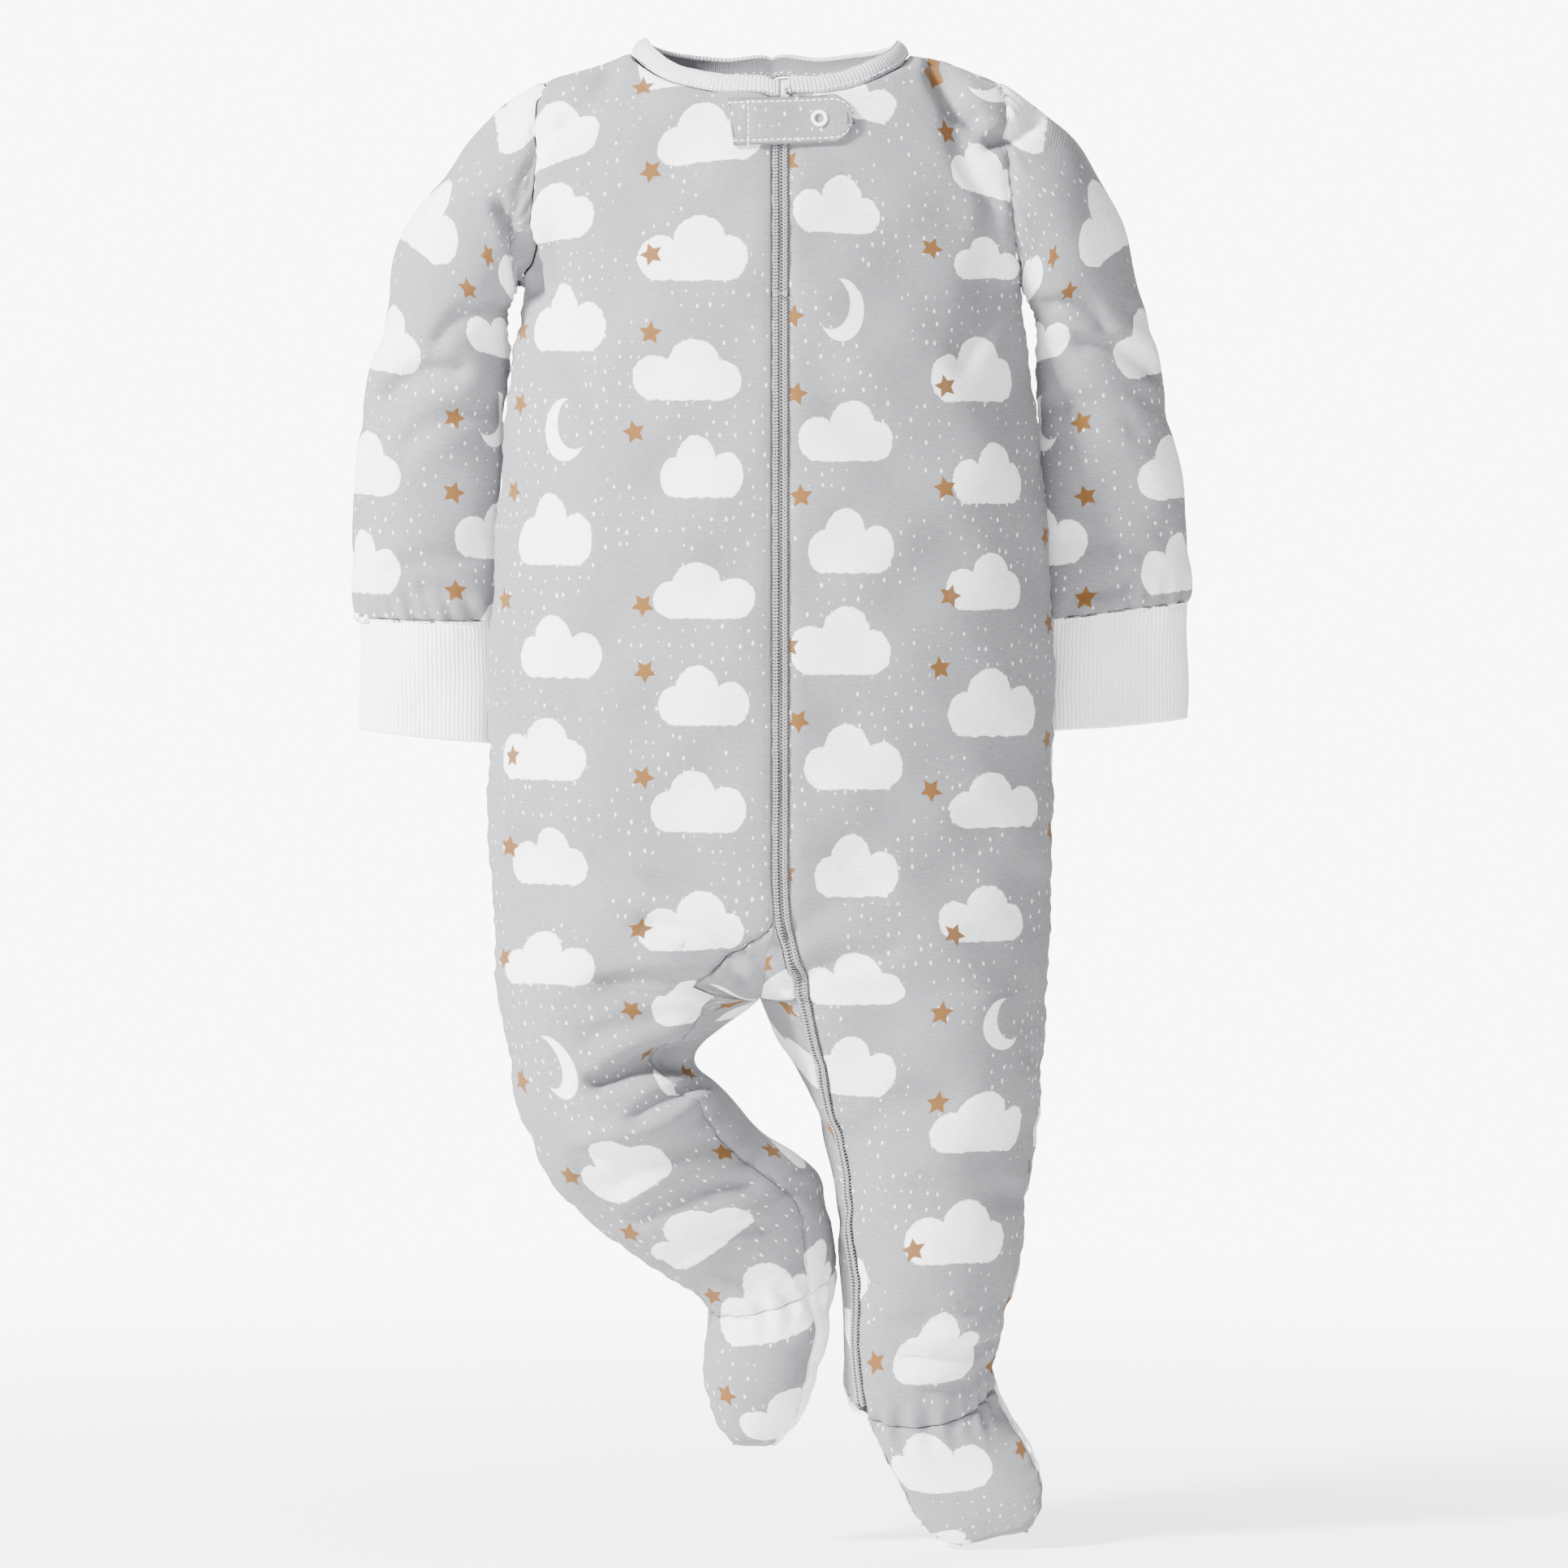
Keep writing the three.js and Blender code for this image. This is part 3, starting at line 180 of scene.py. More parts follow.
# Leg rows. inner and outer are the distances of the leg's two sides from the centre line, mid is the middle
# from front to back, pitch tips the row so that its front is lower, seam is the front's inner seam in
# degrees round the leg, and last comes the zip's place or the width of the strip wrapped round from behind.
BODY_COLUMNS = "inner z_inner outer z_outer mid front back full pitch seam over zip strip"
STRAIGHT_LEG = (
    (-4.5, -360.2, 106.2, -357.1, -1, 46, 48, 0.12, 0, 0, 12.2),
    (3.9, -376.8, 104.9, -376.8, 0, 44, 46, 0.1, 0, 0, 16.2),
    (13.0, -394.0, 103.7, -394.0, 0, 41, 42, 0.06, 0, 0, 20.5),
    (19.6, -412.8, 101.8, -412.8, 0, 38, 39, 0, 0, 0, 24.6),
    (23.3, -431.5, 99.6, -431.5, 0, 36, 36, 0, 0, 0, 27.9),
    (26.1, -453.4, 97.4, -453.4, 0, 34, 34, 0, 0, 0, 29.5),
    (27.4, -475.3, 93.1, -475.3, 0, 31, 31, 0, 8, 0, 30.4),
    (28.0, -494.0, 88.4, -492.5, 0, 28, 29, 0, 20, 37, 31.4),
    (29.9, -513.4, 86.8, -507.5, 0, 26, 27, 0, 33, 39.7, 34.3),
    (36.8, -527.8, 91.5, -520.6, -4, 24, 30, 0, 38, 37, 40.3),
    (44.3, -541.6, 97.4, -531.0, -9, 20, 24, 0, 40, 38.3, 0),
    (50.5, -553.5, 103.1, -541.6, -14, 17, 20, 0, 42, 34, 0),
    (57.7, -562.4, 104.6, -551.3, -18, 12, 14, 0, 38, 32, 0),
    (66.7, -567.0, 101.8, -559.1, -21, 7, 8, 0, 28, 34, 0),
    (73.0, -569.6, 98.0, -564.4, -24.3, 0, 0, 0, 28, 33, 0),
)
BENT_LEG = (
    (4.5, -360.2, 107.1, -350.2, -1, 46, 48, 0.12, 0, 0, 40),
    (17.9, -370.2, 104.3, -374.6, -6, 43, 44, 0.08, 0, 0, 36),
    (26.4, -377.1, 99.6, -395.6, -12, 40, 40, 0, 0, 0, 33),
    (27.3, -384.0, 90.2, -419.0, -16, 37, 36, 0, 0, 0, 30),
    (20.5, -391.8, 78.3, -437.2, -15, 35, 35, 0, 0, 0, 28),
    (6.4, -407.5, 61.1, -452.8, -10, 33, 34, 0, 0, 0, 28),
    (-10.8, -420.6, 46.1, -464.3, -5, 31, 32, 0, 0, 0, 28),
    (-21.1, -433.1, 34.5, -472.5, 0, 28, 29, 0, 0, 52, 26),
    (-24.3, -465.9, 25.8, -479.0, 2, 24.5, 26, 0, 17, 51, 22),
    (-23.3, -481.6, 26.4, -487.8, 0, 23, 28, 0, 18, 40, 0),
    (-19.6, -497.8, 26.7, -498.7, -3, 22, 25, 0, 20, 38, 0),
    (-15.5, -510.3, 25.8, -509.7, -6, 19, 21, 0, 22, 36, 0),
    (-10.2, -521.6, 22.0, -521.6, -9, 14, 15, 0, 25, 35, 0),
    (-4.6, -527.9, 16.7, -528.5, -11, 8, 9, 0, 20, 33, 0),
    (-1.4, -531.9, 13.8, -531.9, -13.5, 0, 0, 0, 20, 33, 0),
)

# Rings of the sleeves and cuffs. An outer side is its distance from the centre line and its height. The
# inner side has the same two, and then come the middle from front to back and half the depth.
SLEEVE_INNER = (
    (97.0, -86, 0, 27), (97.5, -88, 1, 27.5), (99.0, -91, 2, 27), (100.5, -95, 4, 26), (101.0, -101, 7, 25),
    (101.5, -110, 10, 24), (101.5, -122, 13, 23.2), (102.0, -135, 16, 22.5), (102.0, -154, 18.5, 21.8),
    (102.0, -179, 21, 21), (102.0, -202, 23, 20), (102.0, -215.1, 24, 19.5),
)
RIGHT_SLEEVE_OUTER = (
    (96.7, -12.5), (113.6, -26.6), (127.4, -42.8), (138.3, -59.4), (144.6, -75.7), (148.7, -92.2),
    (152.4, -108.8), (156.5, -125.0), (160.2, -147.0), (162.4, -175.1), (163.7, -200.1), (162.1, -214.2),
)
LEFT_SLEEVE_OUTER = (
    (96.7, -12.5), (113.6, -26.6), (125.0, -42.8), (133.1, -59.4), (139.2, -75.7), (143.2, -92.2),
    (147.4, -108.8), (151.2, -125.0), (156.2, -147.0), (160.9, -175.1), (162.5, -195.5), (162.1, -207.3),
)
RIGHT_CUFF = (
    (160.8, -219.0, 102.6, -220, 24, 18.8), (160.3, -240.0, 102.5, -242, 24, 18.6),
    (160.3, -257.4, 102.8, -263, 24, 18.5),
)
LEFT_CUFF = (
    (161.2, -212.0, 102.6, -219.5, 24, 18.8), (161.0, -232.0, 102.5, -238, 24, 18.6),
    (160.8, -253.3, 102.8, -258, 24, 18.5),
)
# Where each yoke row meets the sleeve, in degrees from the top of the sleeve towards the underarm
ARMHOLE = Table("degrees", [(0,), (18,), (36,), (54,), (72,), (90,), (108,), (130,), (155,), (180,)])


def body_table(side: float, leg: tuple, outside: int, strips: tuple, zips: tuple, strip_leg: bool) -> Table:
    """All rows of one half from the underarm to the toe.

    Args:
        side: 1 for the left half and -1 for the right one.
        leg: the rows of that half's leg.
        outside: the fork's column that holds the height outside that leg.
        strips: widths in the fork of the strip that is wrapped round from behind.
        zips: the zip's places in the fork.
        strip_leg: whether the leg's last column is that strip and not the zip.

    Returns:
        The table, whose first row is the underarm.
    """
    rows = []
    for z, half, front, back, full in TORSO:
        inner = side * CENTRE_X
        rows.append((inner, z, half, z, 0, front, back, full, 0, 0, half + inner, ZIP_X, 0))
    for row, strip, zip_x in zip(FORK, strips, zips):
        x, z, over, outer, front, back, full = row[:7]
        rows.append((side * x, z, outer, row[outside], 0, front, back, full, 0, 0, over, zip_x, strip))
    for row in leg:
        own = (0, row[10]) if strip_leg else (row[10], 0)
        rows.append((*row[:10], 0, *own))
    return Table(BODY_COLUMNS, rows)


@dataclass(frozen=True)
class Half:
    """One half of the garment: its side, name, tables, and whether the zip runs down it."""

    side: float
    name: str
    zipped: bool
    rows: Table
    sleeve: tuple
    cuff: tuple


def sleeve_rings(outer: tuple) -> tuple:
    """A sleeve's rings, whose inner side is the same on both sleeves."""
    return tuple((*side, *inner) for side, inner in zip(outer, SLEEVE_INNER))


LEFT = Half(1.0, "left", True, body_table(1.0, STRAIGHT_LEG, 7, (0, 0, 0, 0), FORK_ZIP, False),
            sleeve_rings(LEFT_SLEEVE_OUTER), LEFT_CUFF)
RIGHT = Half(-1.0, "right", False, body_table(-1.0, BENT_LEG, 8, FORK_STRIP, (0, 0, 0, 0), True),
             sleeve_rings(RIGHT_SLEEVE_OUTER), RIGHT_CUFF)


@dataclass
class Sections:
    """The cloth's sections at many rows of one half, on its front or its back.

    A point at angle a lies at across = centre - radius cos a from the centre line. It stands forward by
    f = depth sin a (1 + full sin^2 2a), and is at y = mid - f cos pitch and
    z = level + slope across + crown across^2 - f sin pitch.
    """

    side: float
    radius: Array
    centre: Array
    front: Array
    back: Array
    full: Array
    mid: Array
    pitch: Array
    level: Array
    slope: Array
    crown: Array
    row: dict[str, Array]

    def at(self, angle: Array) -> Array:
        """Points at the angles, whose first axis is the row."""
        grow = (slice(None),) + (None,) * (angle.ndim - 1)
        across = self.centre[grow] - self.radius[grow] * np.cos(angle)
        sine = np.sin(angle)
        depth = np.where(sine >= 0, self.front[grow], self.back[grow])
        forward = depth * sine * (1 + self.full[grow] * np.sin(2 * angle) ** 2)
        height = self.level[grow] + self.slope[grow] * across + self.crown[grow] * across ** 2
        return np.stack([
            self.side * across,
            self.mid[grow] - forward * np.cos(self.pitch[grow]),
            height - forward * np.sin(self.pitch[grow]),
        ], axis=-1)

    def angle_across(self, across: Array) -> Array:
        """The angle in front at a distance from the centre line."""
        return np.arccos(np.clip((self.centre - across) / self.radius, -1, 1))

    def cloth_per_radian(self, angle: Array) -> Array:
        """Millimetres of cloth for each radian round the front."""
        return np.hypot(self.radius * np.sin(angle), self.front * np.cos(angle))


def sections(half: Half, position: Array, back: bool) -> Sections:
    """The sections of one half at the given rows.

    Args:
        half: the half of the garment.
        position: row numbers.
        back: whether the yoke's rows are read from the back's table.

    Returns:
        The sections, with the tables' columns that later steps read.
    """
    yoke = (BACK_YOKE if back else FRONT_YOKE).sample(np.minimum(position, UNDERARM))
    body = half.rows.sample(np.maximum(position - UNDERARM, 0))
    high = position < UNDERARM
    none = np.zeros_like(position)
    over = np.maximum(body["over"], 0)
    radius = (body["outer"] - body["inner"] + over) / 2
    slope = (body["z_outer"] - body["z_inner"]) / (body["outer"] - body["inner"])

    def pick(up: Array, down: Array) -> Array:
        """The yoke's value above the underarm, and the body's below it."""
        return np.where(high, up, down)

    return Sections(
        side=half.side,
        radius=pick(yoke["arm"] / np.sqrt(1 - yoke["share"] ** 2), radius),
        centre=pick(none, body["outer"] - radius),
        front=pick(yoke["deep"], body["front"]),
        back=pick(yoke["deep"], body["back"]),
        full=pick(none, body["full"]),
        mid=pick(none, body["mid"]),
        pitch=pick(none, np.radians(body["pitch"])),
        level=pick(yoke["mid"], body["z_inner"] - body["inner"] * slope),
        slope=pick(none, slope),
        crown=pick((yoke["edge"] - yoke["mid"]) / yoke["arm"] ** 2, none),
        row={**yoke, **body},
    )


def unit(vectors: Array) -> Array:
    """The vectors' directions, with length 1. A vector of no length stays 0."""
    return vectors / np.maximum(np.linalg.norm(vectors, axis=-1, keepdims=True), TINY)


def lengths(points: Array, axis: int) -> Array:
    """Length of cloth walked along an axis of a grid of points, starting from 0."""
    steps = np.linalg.norm(np.diff(points, axis=axis), axis=-1)
    start = np.zeros_like(np.take(steps, [0], axis=axis))
    return np.concatenate([start, np.cumsum(steps, axis=axis)], axis=axis)


@dataclass
class Strip:
    """Points of one strip of sections, with the cloth's length from the strip's first column."""

    points: Array
    across: Array

    @property
    def width(self) -> Array:
        """Width of the cloth in each row."""
        return self.across[:, -1:]

    def draw_over(self, shift: Array, away: Array) -> None:
        """Shifts the strip near the line where the halves meet, less and less away from it."""
        self.points = self.points + shift * np.exp(-((away / MEETING_REACH) ** 2))[..., None]


def spread(shape: Sections, first: Array, last: Array, columns: int) -> Strip:
    """A strip of cloth between two angles of each row.

    Its columns stand at even lengths of cloth, except for a few close ones beside both edges.

    Args:
        shape: the sections.
        first: the angle of the first column in each row.
        last: the angle of the last column in each row.
        columns: number of even steps between the close columns.

    Returns:
        The strip.
    """
    angles = first[:, None] + (last - first)[:, None] * np.linspace(0, 1, FINE_ACROSS)
    walked = lengths(shape.at(angles), 1)
    width = walked[:, -1:]
    close = np.array(SEAM_COLUMNS) * np.minimum(1, width / NARROW_STRIP)
    even = close[:, -1:] + (width - 2 * close[:, -1:]) * np.linspace(0, 1, columns + 1)[1:-1]
    layout = np.concatenate([close, even, width - close[:, ::-1]], axis=1)
    chosen = np.array([np.interp(layout[i], walked[i], angles[i]) for i in range(len(layout))])
    chosen[:, 0] = first
    chosen[:, -1] = last
    return Strip(shape.at(chosen), layout)


def row_positions() -> Array:
    """Row numbers of the mesh, with close ones beside the ankle seam."""
    parts = [np.linspace(a, b, (b - a) * n + 1) for a, b, n in ROW_STEPS]
    return np.unique(np.round(np.concatenate([*parts, ANKLE + np.array(BESIDE_ANKLE)]), 6))


class Pull(Enum):
    """How hard a seam gathers the cloth beside it, in millimetres of ripple. SIDE is the feet's too."""

    NECK = 0.10
    ZIP = 0.22
    SIDE = 0.35
    ARMHOLE = 0.40
    INSEAM = 0.50
    ANKLE = 0.80
    CUFF = 0.75


@dataclass
class Patch:
    """A grid of cloth with its place in the cut and the nearest seam.

    cut holds two lengths of cloth, to the right and up. seam is the distance to the nearest seam, run the
    length along that seam and pull how hard it gathers.
    """

    piece: str
    points: Array
    cut: Array
    turned: bool
    seam: Array = field(init=False)
    run: Array = field(init=False)
    pull: Array = field(init=False)

    def __post_init__(self) -> None:
        """Starts with no seam near."""
        shape = self.points.shape[:2]
        self.seam = np.full(shape, NO_SEAM)
        self.run = np.zeros(shape)
        self.pull = np.zeros(shape)

    def near(self, distance: Array, run: Array, pull: Pull) -> None:
        """Takes a seam into account wherever it is nearer than the seams so far."""
        closer = distance < self.seam
        self.seam = np.where(closer, distance, self.seam)
        self.run = np.where(closer, run, self.run)
        self.pull = np.where(closer, pull.value, self.pull)

    def part(self, rows: Array, piece: str) -> "Patch":
        """The patch's chosen rows as a patch of a named piece."""
        chosen = Patch(piece, self.points[rows], self.cut[rows], self.turned)
        chosen.seam, chosen.run, chosen.pull = self.seam[rows], self.run[rows], self.pull[rows]
        return chosen


class BodyHalf:
    """The strips of one half of the body at every row of the mesh."""

    def __init__(self, half: Half, position: Array) -> None:
        """Takes one half and the rows of the mesh, and finds the strips' edges."""
        self.half = half
        self.position = position
        self.front = sections(half, position, False)
        self.back = sections(half, position, True)
        self.cut_angle = self.front.angle_across(self.front.row["inner"])
        self._find_edges()

    def _find_edges(self) -> None:
        """Finds the angles at which the strips of each row start and end."""
        half, position, front, row = self.half, self.position, self.front, self.front.row
        high = position < UNDERARM
        in_neck = position < NECK_ROW
        opening = ZIP_X + ZIP_OPENING / 2 if half.zipped else -CENTRE_X
        neck = np.where(in_neck, np.maximum(row["neck"], opening), opening)
        back_neck = np.where(in_neck, self.back.row["neck"], half.side * CENTRE_X)
        cut = self.cut_angle
        if half.zipped:
            zip_angle = front.angle_across(row["zip"])
            reach = ZIP_OPENING / 2 / front.cloth_per_radian(zip_angle)
            seam = zip_angle + reach
            slit = np.where(position <= APEX, cut, np.maximum(zip_angle - reach, cut))
        else:
            seam = slit = self._angle_along(cut, np.maximum(row["strip"], 0))
        foot = position >= ANKLE
        seam = np.where(foot, np.radians(row["seam"]), seam)
        slit = np.where(foot, seam * SLIT_SHARE if half.zipped else seam, slit)
        self.slit = slit
        self.seam = seam
        self.front_start = np.where(high, front.angle_across(neck), seam)
        self.front_end = np.where(high, front.angle_across(row["arm"]), math.pi)
        self.back_start = 2 * math.pi - self.front_end
        self.back_end = 2 * math.pi - np.where(high, self.back.angle_across(back_neck), cut)

    def _angle_along(self, first: Array, length: Array) -> Array:
        """The angle in front that lies a length of cloth past a first angle."""
        angles = first[:, None] + (math.pi - first)[:, None] * np.linspace(0, 1, FINE_AROUND)
        walked = lengths(self.front.at(angles), 1)
        return np.array([np.interp(length[i], walked[i], angles[i]) for i in range(len(length))])

    def strips(self, other: "BodyHalf") -> dict[str, Strip]:
        """The strips of this half, drawn to where it meets the other half above the crotch.

        Args:
            other: the other half.

        Returns:
            The strips by name, in this order: front, back, gusset and slit.
        """
        strips = {
            "front": spread(self.front, self.front_start, self.front_end, PANEL_COLUMNS),
            "back": spread(self.back, self.back_start, self.back_end, PANEL_COLUMNS),
            "gusset": spread(self.front, self.cut_angle, self.slit, GUSSET_COLUMNS),
            "slit": spread(self.front, self.slit, self.seam, SLIT_COLUMNS),
        }
        joined = ((self.position >= UNDERARM) & (self.position <= CROTCH)).astype(float)[:, None, None]
        own, far = self.cut_angle, other.cut_angle
        shift = (other.front.at(far) - self.front.at(own))[:, None] / 2 * joined
        past = np.zeros_like(strips["gusset"].width)
        for name in ("gusset", "slit", "front"):
            strip = strips[name]
            strip.draw_over(shift, past + strip.across)
            past = past + strip.width
        own, far = 2 * math.pi - own, 2 * math.pi - far
        shift = (other.back.at(far) - self.back.at(own))[:, None] / 2 * joined
        strips["back"].draw_over(shift, strips["back"].width - strips["back"].across)
        return strips


class Body:
    """Both halves of the body as patches of cloth."""

    def __init__(self) -> None:
        """Lays out the strips of both halves."""
        self.position = row_positions()
        halves = [BodyHalf(half, self.position) for half in (LEFT, RIGHT)]
        self.strips = {
            "left": halves[0].strips(halves[1]),
            "right": halves[1].strips(halves[0]),
        }

    def rows(self, first: float, last: float) -> Array:
        """Which rows of the mesh lie from one row number to another."""
        return (self.position >= first) & (self.position <= last)

    def _heights(self, strips: dict[str, Strip]) -> Array:
        """How far down each row lies in the cut, along the middle of the tube."""
        middle = (strips["front"].points + strips["back"].points).mean(axis=1) / 2
        return lengths(middle[:, None], 0)

    def _down(self, strip: Strip, heights: Array) -> Array:
        """How far down each point lies in the cut: the middle's length, and lower a share of its own."""
        own = lengths(strip.points, 0)
        last = int(np.searchsorted(self.position, LAST_TORSO))
        extra = (own - own[last]) - (heights - heights[last])
        return heights + OWN_LENGTH * np.where(self.position[:, None] > LAST_TORSO, extra, 0)

    def patches(self, half: Half) -> list[Patch]:
        """The patches of one half, each with its seams.

        Args:
            half: the half of the garment.

        Returns:
            The patches of the fronts, back, vamps and soles.
        """
        strips = self.strips[half.name]
        front, back, gusset, slit = strips.values()
        heights = self._heights(strips)
        last = int(np.searchsorted(self.position, LAST_TORSO))
        low = self.position[:, None] > LAST_TORSO
        side = half.side
        start = side * front.points[:, :1, 0]
        full = start + front.width
        front_out = np.where(low, full[last] - (front.width - front.across), start + front.across)
        end = side * back.points[:, -1:, 0]
        back_full = end + back.width
        back_out = np.where(low, back_full[last] - back.across, back_full - back.across)
        gusset_out = back_full[last] - back.width - gusset.across
        slit_out = back_full[last] - back.width - gusset.width - slit.across
        rights = (side * front_out, -side * back_out, -side * gusset_out, -side * slit_out)
        whole = {
            name: Patch("", strip.points, np.stack([right, -self._down(strip, heights)], axis=-1), side < 0)
            for (name, strip), right in zip(strips.items(), rights)
        }
        self._mark_seams(whole, strips, half)
        parts = [
            ("front", 0, ANKLE, f"front_{half.name}"), ("front", ANKLE, TOE, f"vamp_{half.name}"),
            ("back", 0, ANKLE, "back"), ("back", ANKLE, TOE, f"sole_{half.name}"),
            ("gusset", APEX, ANKLE, "back"), ("gusset", ANKLE, TOE, f"sole_{half.name}"),
        ]
        if half.zipped:
            parts.append(("slit", ANKLE, TOE, f"sole_{half.name}"))
            parts.append(("slit", NECK_ROW, ANKLE, "zip_opening"))
        return [whole[name].part(self.rows(a, b), piece) for name, a, b, piece in parts]

    def _mark_seams(self, whole: dict[str, Patch], strips: dict[str, Strip], half: Half) -> None:
        """Gives every point of the whole strips its nearest seam."""
        position = self.position[:, None]
        front, back, gusset, slit = strips.values()
        inner = Pull.ZIP if half.zipped else Pull.INSEAM
        neck, yoke, foot = position <= NECK_ROW, position <= UNDERARM, position >= ANKLE
        leg = (position > APEX) & ~foot
        to_gusset_end = gusset.width - gusset.across + np.where(foot, slit.width, 0)
        seams = (
            ("front", neck, front.across, Pull.NECK),
            ("front", ~neck & (position <= APEX), front.across, Pull.ZIP),
            ("front", leg, front.across, inner),
            ("front", foot, front.across, Pull.SIDE),
            ("front", yoke, front.width - front.across, Pull.ARMHOLE),
            ("front", ~yoke, front.width - front.across, Pull.SIDE),
            ("back", yoke, back.across, Pull.ARMHOLE),
            ("back", ~yoke, back.across, Pull.SIDE),
            ("back", neck, back.width - back.across, Pull.NECK),
            ("gusset", position >= 0, to_gusset_end, inner),
            ("slit", foot, slit.width - slit.across, inner),
        )
        for name, here, distance, pull in seams:
            patch = whole[name]
            patch.near(np.where(here, distance, NO_SEAM), -patch.cut[..., 1], pull)
        ankle = int(np.searchsorted(self.position, ANKLE))
        for name, patch in whole.items():
            own = lengths(patch.points, 0)
            patch.near(np.abs(own - own[ankle]), patch.cut[..., 0], Pull.ANKLE)
            if name in ("front", "back"):
                patch.near(own, patch.cut[..., 0], Pull.NECK)


class Sleeve:
    """One sleeve with its cuff, sewn to the armhole."""

    ring_steps = 7
    cuff_steps = 8
    # Places of the close rows beside the seams, as parts of a step between two rings
    close_rows = (0.05, 0.12, 0.25)
    close_cuff_rows = (0.2,)
    # The angle of the middle in front: a whole turn and a quarter
    front_angle = 2.5 * math.pi

    def __init__(self, half: Half, body: Body) -> None:
        """Takes the armhole's points from the body, and the angle of each round the sleeve."""
        self.half = half
        rows = body.rows(0, UNDERARM)
        strips = body.strips[half.name]
        angles = np.radians(ARMHOLE.sample(body.position[rows])["degrees"])
        back = strips["back"].points[rows, 0][::-1]
        front = strips["front"].points[rows, -1]
        self.armhole = np.concatenate([back, front[1:]])
        self.angles = np.concatenate([2 * math.pi - angles[::-1], angles[1:] + 2 * math.pi])

    def ring(self, row: tuple) -> Array:
        """Points of a ring at the angles from its outer side round the front."""
        outer, z_outer, inner, z_inner, mid, deep = row
        share = (1 + np.cos(self.angles)) / 2
        across = inner + (outer - inner) * share
        height = z_inner + (z_outer - z_inner) * share
        return np.stack([self.half.side * across, mid - deep * np.sin(self.angles), height], axis=-1)

    def loft(self, rings: list[Array], steps: int, close: tuple[float, ...]) -> Array:
        """Rows of points on smooth curves through the rings, with close rows beside the first and the last.

        Args:
            rings: rings of equal count.
            steps: rows from one ring to the next.
            close: places of extra rows, as parts of the first and the last step.

        Returns:
            A grid of points.
        """
        last = len(rings) - 1
        extra = np.array(close)
        places = np.unique(np.concatenate([np.linspace(0, last, last * steps + 1), extra, last - extra]))
        rows = smooth(np.array([ring.ravel() for ring in rings]), places)
        return rows.reshape(len(places), -1, 3)

    def patches(self) -> list[Patch]:
        """The sleeve's and the cuff's patch."""
        half = self.half
        rings = [self.ring(row) for row in half.sleeve]
        cuff_rings = [self.ring(row) for row in half.cuff]
        sleeve = self.loft([self.armhole, *rings], self.ring_steps, self.close_rows)
        cuff = self.loft([rings[-1], *cuff_rings], self.cuff_steps, self.close_cuff_rows)
        front = int(np.argmin(np.abs(self.angles - self.front_angle)))
        patches = []
        top = 0.0
        for name, points in (("sleeve", sleeve), ("cuff", cuff)):
            around = lengths(points, 1)
            down = top + lengths(points.mean(axis=1, keepdims=True), 0) + np.zeros_like(around)
            top = down[-1, 0]
            cut = np.stack([around - around[:, front:front + 1], -down], axis=-1)
            patch = Patch(f"{name}_{half.name}", points, cut, half.side > 0)
            own = lengths(points, 0)
            if name == "sleeve":
                patch.near(own, around, Pull.ARMHOLE)
                patch.near(np.minimum(around, around[:, -1:] - around), down, Pull.SIDE)
                patch.near(own[-1:] - own, around, Pull.CUFF)
            else:
                patch.near(own, around, Pull.ZIP)
            patches.append(patch)
        return patches


@dataclass(frozen=True)
class Lean:
    """How far the neckband's free edge stands in from the neckline and above it."""

    inward: float
    up: float


